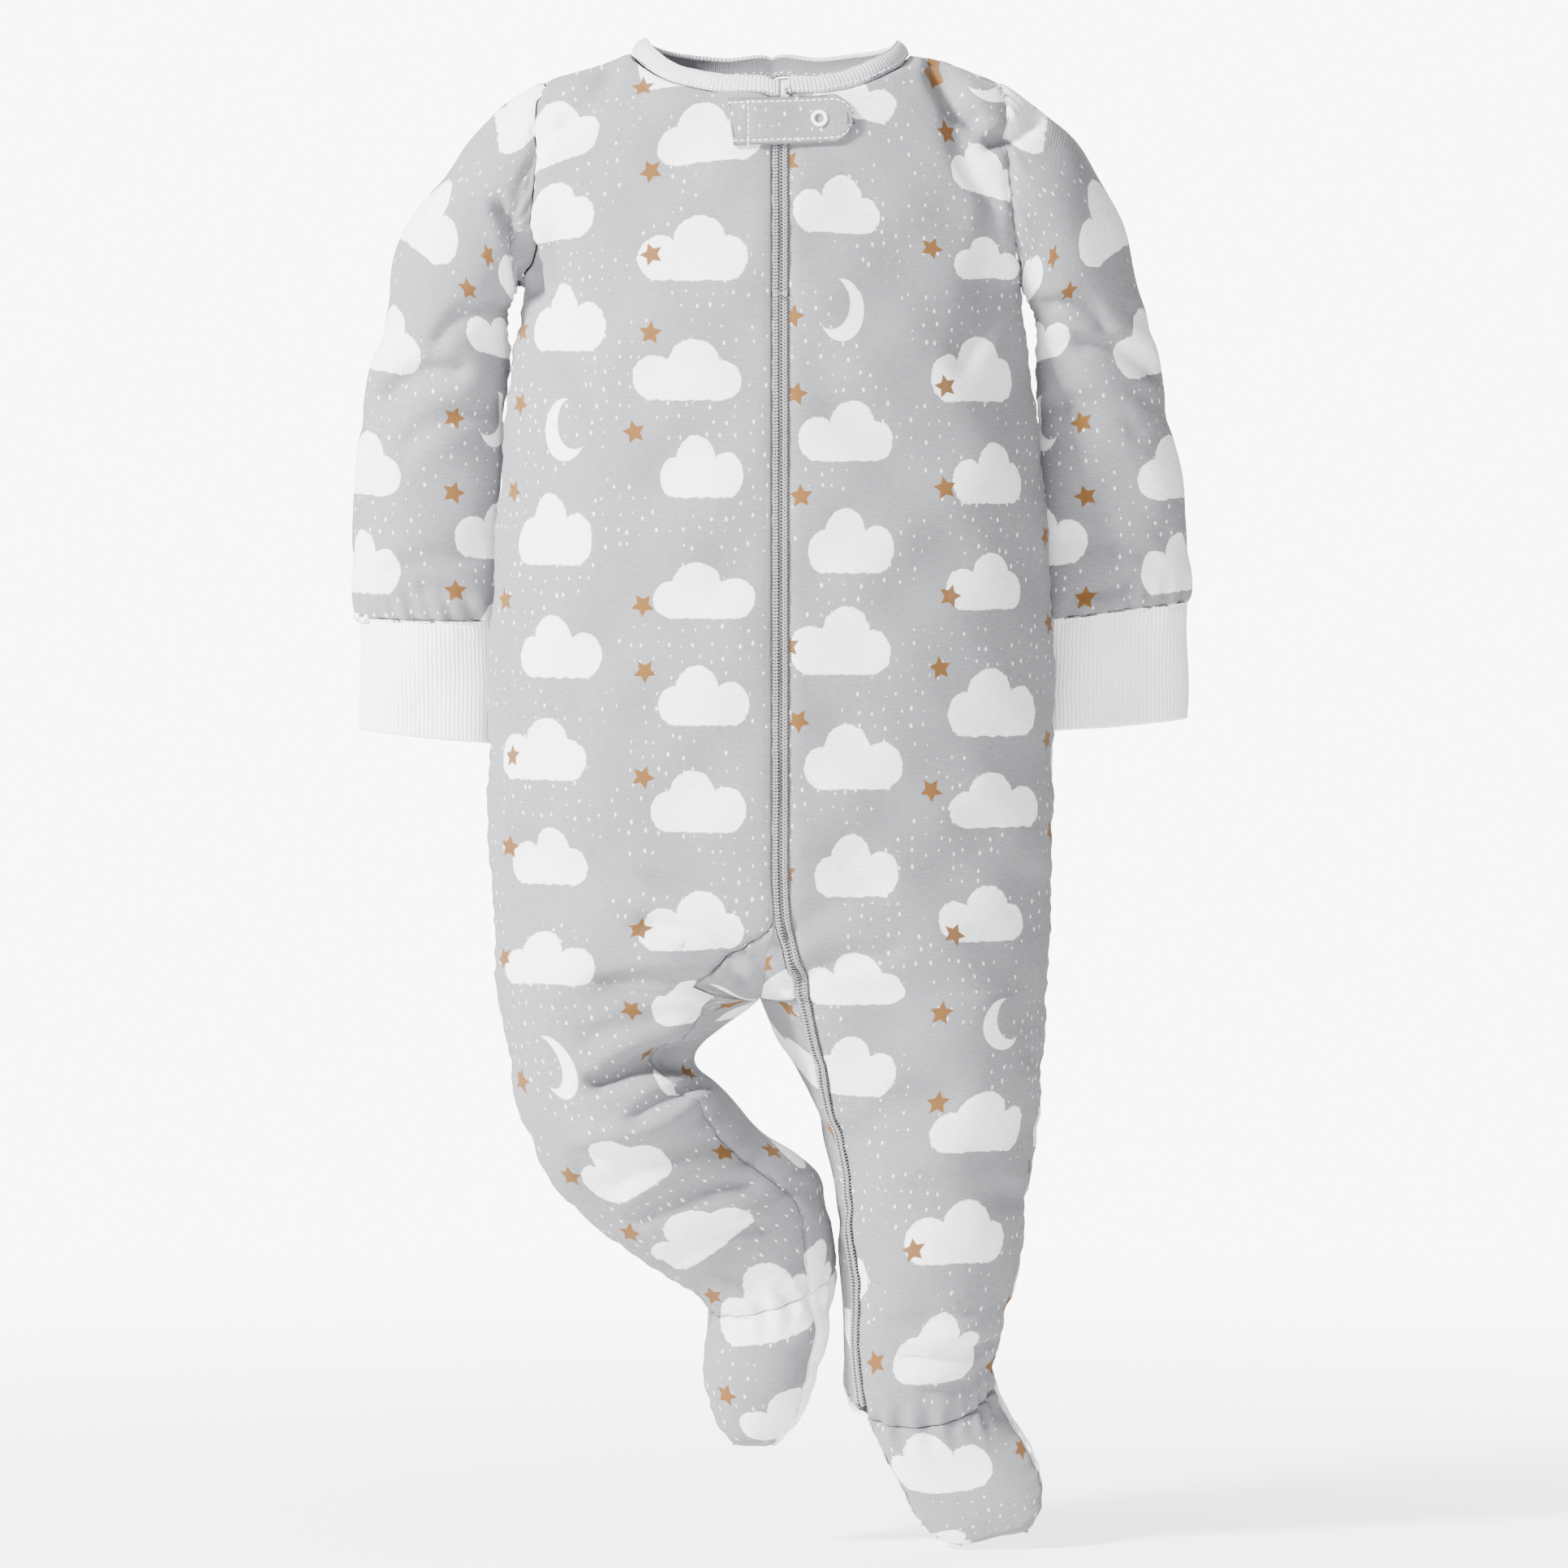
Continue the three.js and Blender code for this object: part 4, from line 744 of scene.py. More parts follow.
class Neckband:
    """The rib band round the neck, from the zip round the back to the zip again."""

    shoulder = Lean(6.3, 5.6)
    front = Lean(4.5, 6.5)
    back = Lean(1.5, 8.5)
    round_power = 0.9
    end_gap = 0.01
    # Rows up the band, as shares of its height: close ones at its foot, then even ones
    foot_rows = (0, 0.08, 0.18)
    even_rows = (0.3, 1, 7)
    # The stitch line with a place below and above it, a stitch's length, and a bead's half sizes
    stitch_rows = (0.08, 0.13, 0.18)
    stitch_step = 2.2
    stitch_size = (0.8, 0.27, 0.26)

    def __init__(self, body: Body) -> None:
        """Takes the neckline's points from the body and lays the free edge over them."""
        rows = body.rows(0, NECK_ROW)
        share = body.position[rows] / NECK_ROW
        stops = []
        order = (("left", "front", 0, self.front, True), ("left", "back", -1, self.back, False),
                 ("right", "back", -1, self.back, True), ("right", "front", 0, self.front, False))
        for name, strip, column, centre, upward in order:
            seam = body.strips[name][strip].points[rows, column]
            free = self._free(seam, share, centre)
            pair = np.stack([seam, free], axis=1)
            stops.append(pair[::-1] if upward else pair)
        band = np.concatenate([stops[0], stops[1][1:], stops[2][1:], stops[3][1:]])
        first, last = band[:1].copy(), band[-1:].copy()
        first[..., 0] = ZIP_X + self.end_gap
        last[..., 0] = ZIP_X - self.end_gap
        self.band = np.concatenate([first, band, last])

    def _free(self, seam: Array, share: Array, centre: Lean) -> Array:
        """The free edge above the neckline's points."""
        inward = self.shoulder.inward + (centre.inward - self.shoulder.inward) * share
        up = self.shoulder.up + (centre.up - self.shoulder.up) * share
        flat = seam[:, :2]
        return np.concatenate([flat - unit(flat) * inward[:, None], (seam[:, 2] + up)[:, None]], axis=1)

    def surface(self, share: Array) -> Array:
        """Rows of points up the band, where its height grows as sin(share pi / 2)^0.9."""
        seam, free = self.band[:, 0], self.band[:, 1]
        points = seam + (free - seam) * share[:, None, None]
        lift = np.sin(share * math.pi / 2) ** self.round_power
        points[..., 2] = seam[:, 2] + (free - seam)[:, 2] * lift[:, None]
        return points

    def patch(self) -> Patch:
        """The band's patch."""
        share = np.concatenate([self.foot_rows, np.linspace(*self.even_rows)])
        points = self.surface(share)
        up = lengths(points, 0)
        along = lengths(points[:1], 1) + np.zeros_like(up)
        patch = Patch("neckband", points, np.stack([along, up], axis=-1), True)
        patch.near(up, along, Pull.NECK)
        return patch

    def stitches(self, relief: "Relief", name: str) -> Object:
        """Topstitching along the band's foot, one row on its face and one on its inner side."""
        low, line, high = self.surface(np.array(self.stitch_rows))
        chosen, way = stitch_places(line, self.stitch_step)
        points = line[chosen]
        out = unit(np.cross(way, (high - low)[chosen]))
        from_seam = np.linalg.norm(points - self.band[chosen, 0], axis=1)
        depth = relief.folds(points, out) + relief.seams(from_seam, np.zeros(len(points)), 0.0)
        centres = [points - out * (depth + under)[:, None] for under in (0.0, RIB)]
        axes = tuple(np.concatenate([axis, axis]) for axis in (way, np.cross(out, way), out))
        return beads(name, np.concatenate(centres), axes, self.stitch_size, *STITCH_MESH)


class Facing(Enum):
    """The way a crease's cloth faces: that direction, and the two axes that the crease is placed in."""

    FRONT = ((0.0, -1.0, 0.0), (0, 2))
    BACK = ((0.0, 1.0, 0.0), (0, 2))
    LEFT = ((1.0, 0.0, 0.0), (1, 2))
    RIGHT = ((-1.0, 0.0, 0.0), (1, 2))


# Creases: from one place to another in the two axes of their facing, the sideways bow of the middle, half
# the width, and the depth, which is negative for a ridge
CREASES = {
    Facing.FRONT: (
        (-27, -382, -66, -389, 3, 6, 6.0), (-30, -397, -68, -410, -3, 8, -2.6),
        (-20, -390, -52, -402, 2, 4, 2.0), (-14, -344, -46, -329, 3, 6, 3.4),
        (-22, -356, -62, -352, 2, 7, 2.8), (-10, -352, -34, -338, 0, 3, 1.6),
        (-6, -340, -44, -312, 4, 5, 1.3), (-12, -362, -70, -372, 3, 5, 1.6),
        (8, -352, 44, -340, -3, 6, 1.5), (4, -338, 40, -316, -4, 6, 1.0), (62, 6, 77, -20, 3, 6, 3.6),
        (86, -30, 103, -18, 2, 5, 2.6), (-104, -56, -94, -86, -3, 5, 3.8),
        (-88, -30, -98, -62, 2, 5, 1.4), (70, -10, 84, -52, 4, 6, 1.6), (84, -60, 74, -112, -5, 8, 1.6),
        (-84, -70, -70, -128, 5, 9, 1.8), (-60, 4, -78, -22, -3, 6, 1.5),
        (-122, -118, -150, -128, 3, 6, 2.6), (-112, -134, -140, -146, 3, 6, 1.5),
        (120, -108, 148, -118, -3, 6, 2.4), (-106, -92, -128, -106, 3, 5, 1.6),
        (108, -92, 128, -100, -3, 5, 1.8), (112, -130, 140, -140, -3, 6, 1.4),
        (-116, -190, -148, -196, 2, 5, 1.2), (116, -184, 146, -190, -2, 5, 1.3),
        (-118, -206, -134, -201, 1, 3, 1.2), (122, -204, 140, -199, 1, 3, 1.2),
        (-10, -430, -52, -444, 4, 5, 2.4), (-4, -446, -40, -460, 3, 4, 1.6),
        (-22, -414, -60, -430, 4, 6, 1.4), (14, -462, -10, -470, 2, 3, 1.3),
        (-18, -466, 6, -474, 2, 3, 1.2), (52, -497, 84, -492, 2, 4, 2.2),
        (48, -484, 78, -478, 2, 5, 1.2), (60, -510, 84, -502, 2, 4, 1.3),
        (36, -470, 60, -478, -2, 5, 0.9), (60, -430, 90, -436, 2, 8, 1.2),
        (40, -404, 66, -396, -3, 8, 0.9), (-90, -300, -60, -316, 4, 10, 1.3),
        (20, -120, 60, -150, 8, 16, 1.0), (-20, -200, -70, -226, -8, 18, 1.1),
        (30, -250, 84, -268, 6, 16, 1.0), (-80, -170, -40, -150, 6, 16, 0.9),
        (-74, -418, -60, -440, 2, 7, 1.2),
    ),
    Facing.BACK: (
        (-70, -196, 40, -214, 8, 11, 3.0), (78, -232, -20, -252, -8, 10, 2.6),
        (-66, -344, -12, -352, 3, 7, 3.8), (14, -352, 78, -344, -3, 7, 3.8),
        (-34, -386, -88, -396, 3, 7, 3.6), (34, -430, 90, -438, -3, 7, 3.0),
        (30, -456, 84, -448, 3, 6, 2.4), (-114, -116, -150, -106, 3, 7, 2.8),
        (112, -112, 146, -102, -3, 7, 2.8), (-60, -40, -80, -90, 5, 8, 2.0),
        (60, -36, 82, -92, -5, 8, 2.0), (-40, -120, 30, -132, 6, 14, 1.6),
        (-84, -280, -30, -300, 5, 10, 2.0), (24, -290, 86, -272, -5, 10, 2.0),
        (-14, -330, 10, -372, 2, 5, 2.2), (-20, -420, -62, -432, 3, 6, 2.6),
        (-4, -450, -34, -462, 2, 5, 1.8), (44, -482, 82, -488, 2, 5, 2.0),
        (-112, -180, -148, -190, 2, 6, 1.4), (114, -176, 146, -186, -2, 6, 1.4),
        (52, -400, 96, -392, 3, 8, 1.6),
    ),
    Facing.LEFT: (
        (-20, -380, 26, -388, 3, 7, 2.2), (-22, -432, 20, -440, 3, 6, 2.0),
        (-16, -476, 18, -484, 2, 5, 2.0), (-4, -96, 28, -104, 3, 6, 1.8),
        (0, -128, 38, -138, 3, 6, 1.6), (4, -182, 40, -190, 2, 6, 1.2),
        (-30, -260, 34, -274, 5, 12, 1.6), (-22, -312, 34, -324, 4, 9, 2.0),
        (-18, -498, 14, -504, 2, 4, 1.6),
    ),
    Facing.RIGHT: (
        (-24, -384, 26, -376, 3, 8, 2.0), (-30, -412, 14, -402, 3, 7, 1.8),
        (-18, -440, 22, -450, 3, 6, 1.8), (-4, -98, 28, -106, 3, 6, 1.8),
        (0, -132, 38, -140, 3, 6, 1.6), (4, -184, 40, -194, 2, 6, 1.2),
        (-30, -256, 34, -268, 5, 12, 1.6), (-22, -306, 34, -318, 4, 9, 2.0),
    ),
}


@dataclass(frozen=True)
class Relief:
    """What is pressed into the cloth: creases, a soft unevenness, and each seam's groove and ripple.

    A crease is d (1 - u^2 / 2) e^(-u^2), with u the distance from its bowed line over its half width. It
    sets in where the cloth begins to face it and narrows to a share of its width at both ends. The
    unevenness is a sum of waves whose lengths lie between two ends. Each ripple has its height, its
    length over 2 pi, how far it is thrown out of step, and the length over 2 pi of that.
    """

    facing_start: float = 0.12
    facing_full: float = 0.5
    end_fade: float = 1.2
    end_width: float = 0.7
    front_share: float = 1.6
    side_share: float = 0.6
    wave_height: float = 0.24
    wave_count: int = 16
    wave_lengths: Pair = (22.0, 75.0)
    seed: int = 7
    groove_depth: float = 0.8
    groove_width: float = 2.2
    ripples: tuple[tuple[float, ...], ...] = ((1.0, 1.35, 1.7, 9.1), (0.7, 2.3, 2.1, 14.3))
    ripple_reach: float = 9.0

    def creases(self, points: Array, normals: Array) -> Array:
        """Depth of all creases at the points, inward."""
        total = np.zeros(len(points))
        for facing, table in CREASES.items():
            direction, axes = facing.value
            share = self.side_share if facing in (Facing.LEFT, Facing.RIGHT) else self.front_share
            facing_share = normals @ np.array(direction) - self.facing_start
            turn = np.clip(facing_share / (self.facing_full - self.facing_start), 0, 1)
            weight = turn * turn * (3 - 2 * turn)
            place = points[:, axes]
            for x1, z1, x2, z2, bow, width, depth in table:
                start, end = np.array([x1, z1]), np.array([x2, z2])
                length = np.linalg.norm(end - start)
                along = (end - start) / length
                offset = place - start
                run = offset @ along
                part = np.clip(run / length, 0, 1)
                bowed = bow * 4 * part * (1 - part)
                aside = offset[:, 0] * along[1] - offset[:, 1] * along[0] - bowed
                past = np.maximum(np.maximum(-run, run - length), 0)
                narrow = width * (self.end_width + (1 - self.end_width) * np.sin(part * math.pi))
                u2 = (aside / narrow) ** 2
                fade = np.exp(-u2 - (self.end_fade * past / width) ** 2)
                total += weight * share * depth * (1 - u2 / 2) * fade
        return total

    def waves(self, points: Array) -> Array:
        """A soft unevenness: the sum of plane waves in fixed directions."""
        chance = np.random.default_rng(self.seed)
        total = np.zeros(len(points))
        for _ in range(self.wave_count):
            direction = unit(chance.normal(size=3))
            length = chance.uniform(*self.wave_lengths)
            start = chance.uniform(0, 2 * math.pi)
            total += np.sin(points @ direction * 2 * math.pi / length + start)
        return self.wave_height * total

    def folds(self, points: Array, normals: Array) -> Array:
        """Depth of the creases and the unevenness together."""
        return self.creases(points, normals) + self.waves(points)

    def seams(self, seam: Array, run: Array, pull: Array | float) -> Array:
        """Each seam's groove, and the ripple that its stitches gather beside it."""
        groove = self.groove_depth * np.exp(-((seam / self.groove_width) ** 2))
        ripple = sum(height * np.sin(run / length + throw * np.sin(run / slow))
                     for height, length, throw, slow in self.ripples)
        return groove + pull * ripple * np.exp(-((seam / self.ripple_reach) ** 2))


# No cloth faces a crease by more than 1, so this relief presses nothing
NO_RELIEF = Relief(facing_start=2.0, facing_full=3.0, wave_height=0.0, groove_depth=0.0)


# Rings of points round the rounded edge of a shell, as angles from its outer face
EDGE_ANGLES = (math.pi / 4, math.pi / 2, 3 * math.pi / 4)


def corner_faces(shape: tuple[int, int], first: int, turned: bool) -> Array:
    """Corners of every face of a grid whose points are numbered row by row from a first number."""
    ids = first + np.arange(shape[0] * shape[1]).reshape(shape)
    faces = np.stack([ids[:-1, :-1], ids[1:, :-1], ids[1:, 1:], ids[:-1, 1:]], axis=-1).reshape(-1, 4)
    return faces[:, ::-1] if turned else faces


def area_normals(points: Array, faces: Array) -> Array:
    """Normals at the points, the mean of the faces round them weighted by area."""
    a, b, c, d = (points[faces[:, k]] for k in range(4))
    area = np.cross(c - a, d - b)
    total = np.zeros_like(points)
    for k in range(4):
        np.add.at(total, faces[:, k], area)
    return unit(total)


def write_mesh(name: str, points: Array, faces: list, cut: Array | None = None,
               slots: Array | None = None) -> Object:
    """A smooth-shaded mesh object.

    Args:
        name: the piece's name.
        points: its points in millimetres.
        faces: lists of corners.
        cut: lengths of cloth for each corner of each face, in millimetres, kept in metres as its UV map.
        slots: the material slot of each face.

    Returns:
        The object, linked to the scene.
    """
    mesh = bpy.data.meshes.new(name)
    mesh.from_pydata((points * MM).tolist(), [], faces)
    mesh.polygons.foreach_set("use_smooth", np.ones(len(mesh.polygons), dtype=bool))
    if cut is not None:
        layer = mesh.uv_layers.new(name="cut")
        layer.uv.foreach_set("vector", (cut * MM).astype(np.float32).ravel())
    if slots is not None:
        mesh.polygons.foreach_set("material_index", slots.astype(np.int32))
    mesh.update()
    piece = bpy.data.objects.new(name, mesh)
    bpy.context.scene.collection.objects.link(piece)
    return piece


class Cloth:
    """All patches joined into one outer face, from which each piece is cut as a thin shell."""

    def __init__(self, patches: list[Patch], relief: Relief) -> None:
        """Joins the patches where their points meet, and presses the relief into them."""
        self.cut = np.concatenate([patch.cut.reshape(-1, 2) for patch in patches])
        flat = np.concatenate([patch.points.reshape(-1, 3) for patch in patches])
        keys = np.round(flat / SAME_PLACE).astype(np.int64)
        _, first, joined = np.unique(keys, axis=0, return_index=True, return_inverse=True)
        self.points = flat[first]
        self.joined = joined.ravel()
        self.faces: dict[str, Array] = {}
        start = 0
        for patch in patches:
            faces = corner_faces(patch.points.shape[:2], start, patch.turned)
            start += patch.points.shape[0] * patch.points.shape[1]
            kept = [self.faces[patch.piece]] if patch.piece in self.faces else []
            self.faces[patch.piece] = np.concatenate([*kept, faces])
        self._press(patches, relief)

    def _press(self, patches: list[Patch], relief: Relief) -> None:
        """Presses the relief into the outer face."""
        seam, run, pull = (np.concatenate([getattr(patch, name).ravel() for patch in patches])
                           for name in ("seam", "run", "pull"))
        order = np.argsort(-seam)
        nearest = np.zeros(len(self.points), dtype=int)
        nearest[self.joined[order]] = order
        every = self.joined[np.concatenate(list(self.faces.values()))]
        normals = area_normals(self.points, every)
        depth = relief.folds(self.points, normals)
        depth += relief.seams(seam[nearest], run[nearest], pull[nearest])
        self.points = self.points - normals * depth[:, None]

    def cut_piece(self, name: str, thickness: float, new_name: str) -> Object:
        """One piece as a closed shell with rounded edges.

        The outer face is the cloth's own, the inner one lies a thickness under it, and the edge between
        them is half a circle: middle + thickness / 2 (normal cos a + outward sin a).

        Args:
            name: the piece's name in the patches.
            thickness: the thickness of the cloth.
            new_name: the name of the object.

        Returns:
            The object, whose inner face has the second material slot.
        """
        flat = self.faces[name]
        used, local = np.unique(self.joined[flat], return_inverse=True)
        faces = local.reshape(-1, 4)
        whole = (faces == np.roll(faces, -1, axis=1)).sum(axis=1) < 2
        faces, flat = faces[whole], flat[whole]
        points = self.points[used]
        count = len(points)
        normals = area_normals(points, faces)
        border = border_edges(faces, count)
        inward = border_inward(points, normals, border)
        outer = points + inward * (thickness + SEAM_GAP) / 2
        rim = np.unique(border)
        place = np.zeros(count, dtype=int)
        place[rim] = np.arange(len(rim))
        middle = outer[rim] - normals[rim] * thickness / 2
        rings = [
            middle + thickness / 2 * (normals[rim] * math.cos(angle) - inward[rim] * math.sin(angle))
            for angle in EDGE_ANGLES
        ]
        starts = [2 * count + k * len(rim) for k in range(len(EDGE_ANGLES))]
        around = [border, *(start + place[border] for start in starts), border + count]
        sides = np.concatenate([
            np.stack([near[:, 1], near[:, 0], far[:, 0], far[:, 1]], axis=1)
            for near, far in zip(around, around[1:])
        ])
        sample_of = np.zeros(count, dtype=int)
        sample_of[faces.ravel()] = flat.ravel()
        side_cut = np.tile(sample_of[border][:, [1, 0, 0, 1]], (len(around) - 1, 1))
        every = np.concatenate([faces, faces[:, ::-1] + count, sides])
        cuts = np.concatenate([flat, flat[:, ::-1], side_cut])
        slots = np.concatenate([np.zeros(len(faces)), np.ones(len(faces)), np.zeros(len(sides))])
        doubled = every == np.roll(every, -1, axis=1)
        corners = [face[~twice].tolist() for face, twice in zip(every, doubled)]
        shell = np.concatenate([outer, outer - normals * thickness, *rings])
        return write_mesh(new_name, shell, corners, self.cut[cuts[~doubled]], slots)


def border_edges(faces: Array, count: int) -> Array:
    """The edges of the faces that no other face walks the other way, as pairs of their points."""
    edges = np.stack([faces, np.roll(faces, -1, axis=1)], axis=-1).reshape(-1, 2)
    edges = edges[edges[:, 0] != edges[:, 1]]
    keys = edges[:, 0] * count + edges[:, 1]
    return edges[~np.isin(keys, edges[:, 1] * count + edges[:, 0])]


def border_inward(points: Array, normals: Array, border: Array) -> Array:
    """The way from each border point into its piece, along the cloth, and 0 at all other points."""
    along = points[border[:, 1]] - points[border[:, 0]]
    inward = np.zeros_like(points)
    for k in (0, 1):
        np.add.at(inward, border[:, k], unit(np.cross(normals[border[:, k]], along)))
    return unit(inward)


class ZipPath:
    """Places beside the middle of the zip, on the left half's front with its creases."""

    # Half the step, in rows or in millimetres, over which a direction is taken
    small = 0.02

    def __init__(self, relief: Relief) -> None:
        """Takes the relief of the cloth that the zip follows."""
        self.relief = relief

    def bare(self, position: Array, aside: Array) -> Array:
        """Places on the smooth front, aside of the zip by a length of cloth."""
        shape = sections(LEFT, position, False)
        zip_x = np.where(position < UNDERARM, ZIP_X, shape.row["zip"])
        angle = shape.angle_across(zip_x)
        return shape.at(angle + aside / shape.cloth_per_radian(angle))

    def frame(self, position: Array, aside: Array) -> tuple[Array, ...]:
        """Places with their directions down the zip, out of the cloth and across to the left."""
        down = self.bare(position + self.small, aside) - self.bare(position - self.small, aside)
        across = self.bare(position, aside + self.small) - self.bare(position, aside - self.small)
        out = unit(np.cross(down, across))
        points = self.bare(position, aside)
        return points - out * self.relief.folds(points, out)[:, None], unit(down), out, unit(across)

    def evenly(self, first: float, last: float, step: float) -> Array:
        """Row numbers that stand a length of zip apart."""
        fine = np.linspace(first, last, FINE_DOWN)
        walked = lengths(self.bare(fine, np.zeros_like(fine)), 0)
        return np.interp(np.arange(0, walked[-1], step), walked, fine)

    def bar(self, name: str, first: float, last: float, step: float, profile: Array) -> Object:
        """A closed bar that follows the zip.

        Args:
            name: the piece's name.
            first: row number of its upper end.
            last: row number of its lower end.
            step: length from one ring to the next.
            profile: (aside, depth under the cloth) of each corner, clockwise seen from above.

        Returns:
            The object, with the lengths along and round it as its cut.
        """
        position = self.evenly(first, last, step)
        rings = []
        for aside, depth in profile:
            points, _, out, _ = self.frame(position, np.full_like(position, aside))
            rings.append(points - out * depth)
        grid = np.stack([*rings, rings[0]], axis=1)
        rows, columns = grid.shape[:2]
        cut = np.stack([lengths(grid, 1), lengths(grid, 0)], axis=-1)
        count = columns - 1
        wrap = np.arange(rows * columns)
        wrap = np.where(wrap % columns == count, wrap // columns * count, wrap - wrap // columns)
        flat = corner_faces((rows, columns), 0, True)
        faces = wrap[flat].tolist()
        ends = [list(range(count)), list(range(rows * count - 1, (rows - 1) * count - 1, -1))]
        cuts = np.concatenate([cut.reshape(-1, 2)[flat].reshape(-1, 2), np.zeros((2 * count, 2))])
        return write_mesh(name, grid[:, :-1].reshape(-1, 3), faces + ends, cuts)


# A bead's ends are flat below this angle, and its rings are drawn out to a barrel by this power
BEAD_END = 0.18
BEAD_POWER = 0.6
# Rings, and points of a ring, of a coil's loop and of a stitch
LOOP_MESH = (6, 8)
STITCH_MESH = (5, 6)


def beads(name: str, centre: Array, axes: tuple[Array, ...], sizes: tuple[float, ...],
          rings: int, around: int) -> Object:
    """Many small rounded beads in one mesh.

    A bead's point is centre + sx u cos a + r(a) (sy v cos b + sz n sin b), with r = sin(a)^0.6.

    Args:
        name: the piece's name.
        centre: the beads' middles.
        axes: directions u, v and n of each bead.
        sizes: half sizes along those directions.
        rings: rings from end to end.
        around: points of a ring.

    Returns:
        The object.
    """
    a = np.linspace(BEAD_END, math.pi - BEAD_END, rings)[:, None]
    b = np.linspace(0, 2 * math.pi, around, endpoint=False)[None]
    radius = np.sin(a) ** BEAD_POWER
    local = np.stack([np.cos(a) + 0 * b, radius * np.cos(b), radius * np.sin(b)], axis=-1).reshape(-1, 3)
    local = local * np.array(sizes)
    turned = sum(local[None, :, k, None] * axes[k][:, None] for k in range(3))
    points = (centre[:, None] + turned).reshape(-1, 3)
    ids = np.arange(rings * around).reshape(rings, around)
    after = np.roll(ids, -1, axis=1)
    sides = np.stack([ids[:-1], ids[1:], after[1:], after[:-1]], axis=-1).reshape(-1, 4)
    starts = (np.arange(len(centre)) * rings * around)[:, None, None]
    faces = (sides[None] + starts).reshape(-1, 4).tolist()
    for start in starts.ravel():
        faces.append((ids[0] + start).tolist())
        faces.append((ids[-1][::-1] + start).tolist())
    return write_mesh(name, points, faces)


def squared(angle: Array, power: float) -> tuple[Array, Array]:
    """Cosine and sine of the angles, each raised to a power without its sign."""
    return tuple(np.sign(wave) * np.abs(wave) ** power for wave in (np.cos(angle), np.sin(angle)))


@dataclass
class Zip:
    """The zip: two tapes, two coils with their sewing thread, and the slider under the tab.

    Tops and bottoms are row numbers. Depths are measured from the cloth's face, and sizes of beads are
    half sizes across, down and out of the cloth. The tape is a little higher in its middle.
    """

    path: ZipPath
    top: float = 4.2
    bottom: float = 27.8
    coil_top: float = 5.15
    pitch: float = 1.25
    tape_edges: Pair = (0.15, 5.5)
    tape_depths: Triple = (1.5, 1.4, 2.3)
    tape_step: float = 1.6
    coil_aside: float = 1.35
    coil_depth: float = 0.85
    coil_size: Triple = (1.75, 0.42, 0.62)
    thread_asides: Pair = (1.35, 2.25)
    thread_slant: Pair = (0.62, 0.78)
    thread_depth: float = 0.22
    thread_size: Triple = (0.68, 0.33, 0.3)
    slider_top: float = 4.5
    slider_bottom: float = 5.08
    slider_size: Pair = (2.9, 0.75)
    slider_depth: float = 0.65
    slider_corners: int = 24
    slider_step: float = 0.6
    slider_power: float = 0.6

    def tape(self, side: float, name: str) -> Object:
        """One woven tape, under the coil and the edge of the front."""
        inner, outer = self.tape_edges
        middle = (inner + outer) / 2
        face, ridge, under = self.tape_depths
        profile = np.array([(inner, face), (middle, ridge), (outer, face),
                            (outer, under), (middle, under), (inner, under)])
        profile[:, 0] *= side
        profile = profile if side < 0 else profile[::-1]
        return self.path.bar(name, self.top, self.bottom, self.tape_step, profile)

    def coil(self, side: float, name: str) -> Object:
        """The loops of one coil, which mesh with the other coil's in the middle."""
        position = self.path.evenly(self.coil_top, self.bottom, self.pitch)
        if side > 0:
            position = position[:-1] + np.diff(position) / 2
        aside = np.full_like(position, side * self.coil_aside)
        points, down, out, across = self.path.frame(position, aside)
        return beads(name, points - out * self.coil_depth, (across, down, out), self.coil_size, *LOOP_MESH)

    def thread(self, side: float, name: str) -> Object:
        """The chain of sewing thread that holds one coil to its tape, as slanted pairs of stitches."""
        position = self.path.evenly(self.coil_top, self.bottom, self.pitch)
        over, along = self.thread_slant
        stitches = []
        for aside, slant in zip(self.thread_asides, (along, -along)):
            points, down, out, across = self.path.frame(position, np.full_like(position, side * aside))
            way = across * over * side + down * slant
            stitches.append((points - out * self.thread_depth, way, np.cross(out, way), out))
        centre, *axes = (np.concatenate(values) for values in zip(*stitches))
        return beads(name, centre, tuple(axes), self.thread_size, *STITCH_MESH)

    def slider(self, name: str) -> Object:
        """The slider's rounded body, closed at the top of the zip."""
        angle = np.linspace(0, 2 * math.pi, self.slider_corners, endpoint=False)
        sideways, inward = squared(angle, self.slider_power)
        wide, deep = self.slider_size
        profile = np.stack([wide * sideways, self.slider_depth + deep * inward], axis=-1)
        return self.path.bar(name, self.slider_top, self.slider_bottom, self.slider_step, profile[::-1])


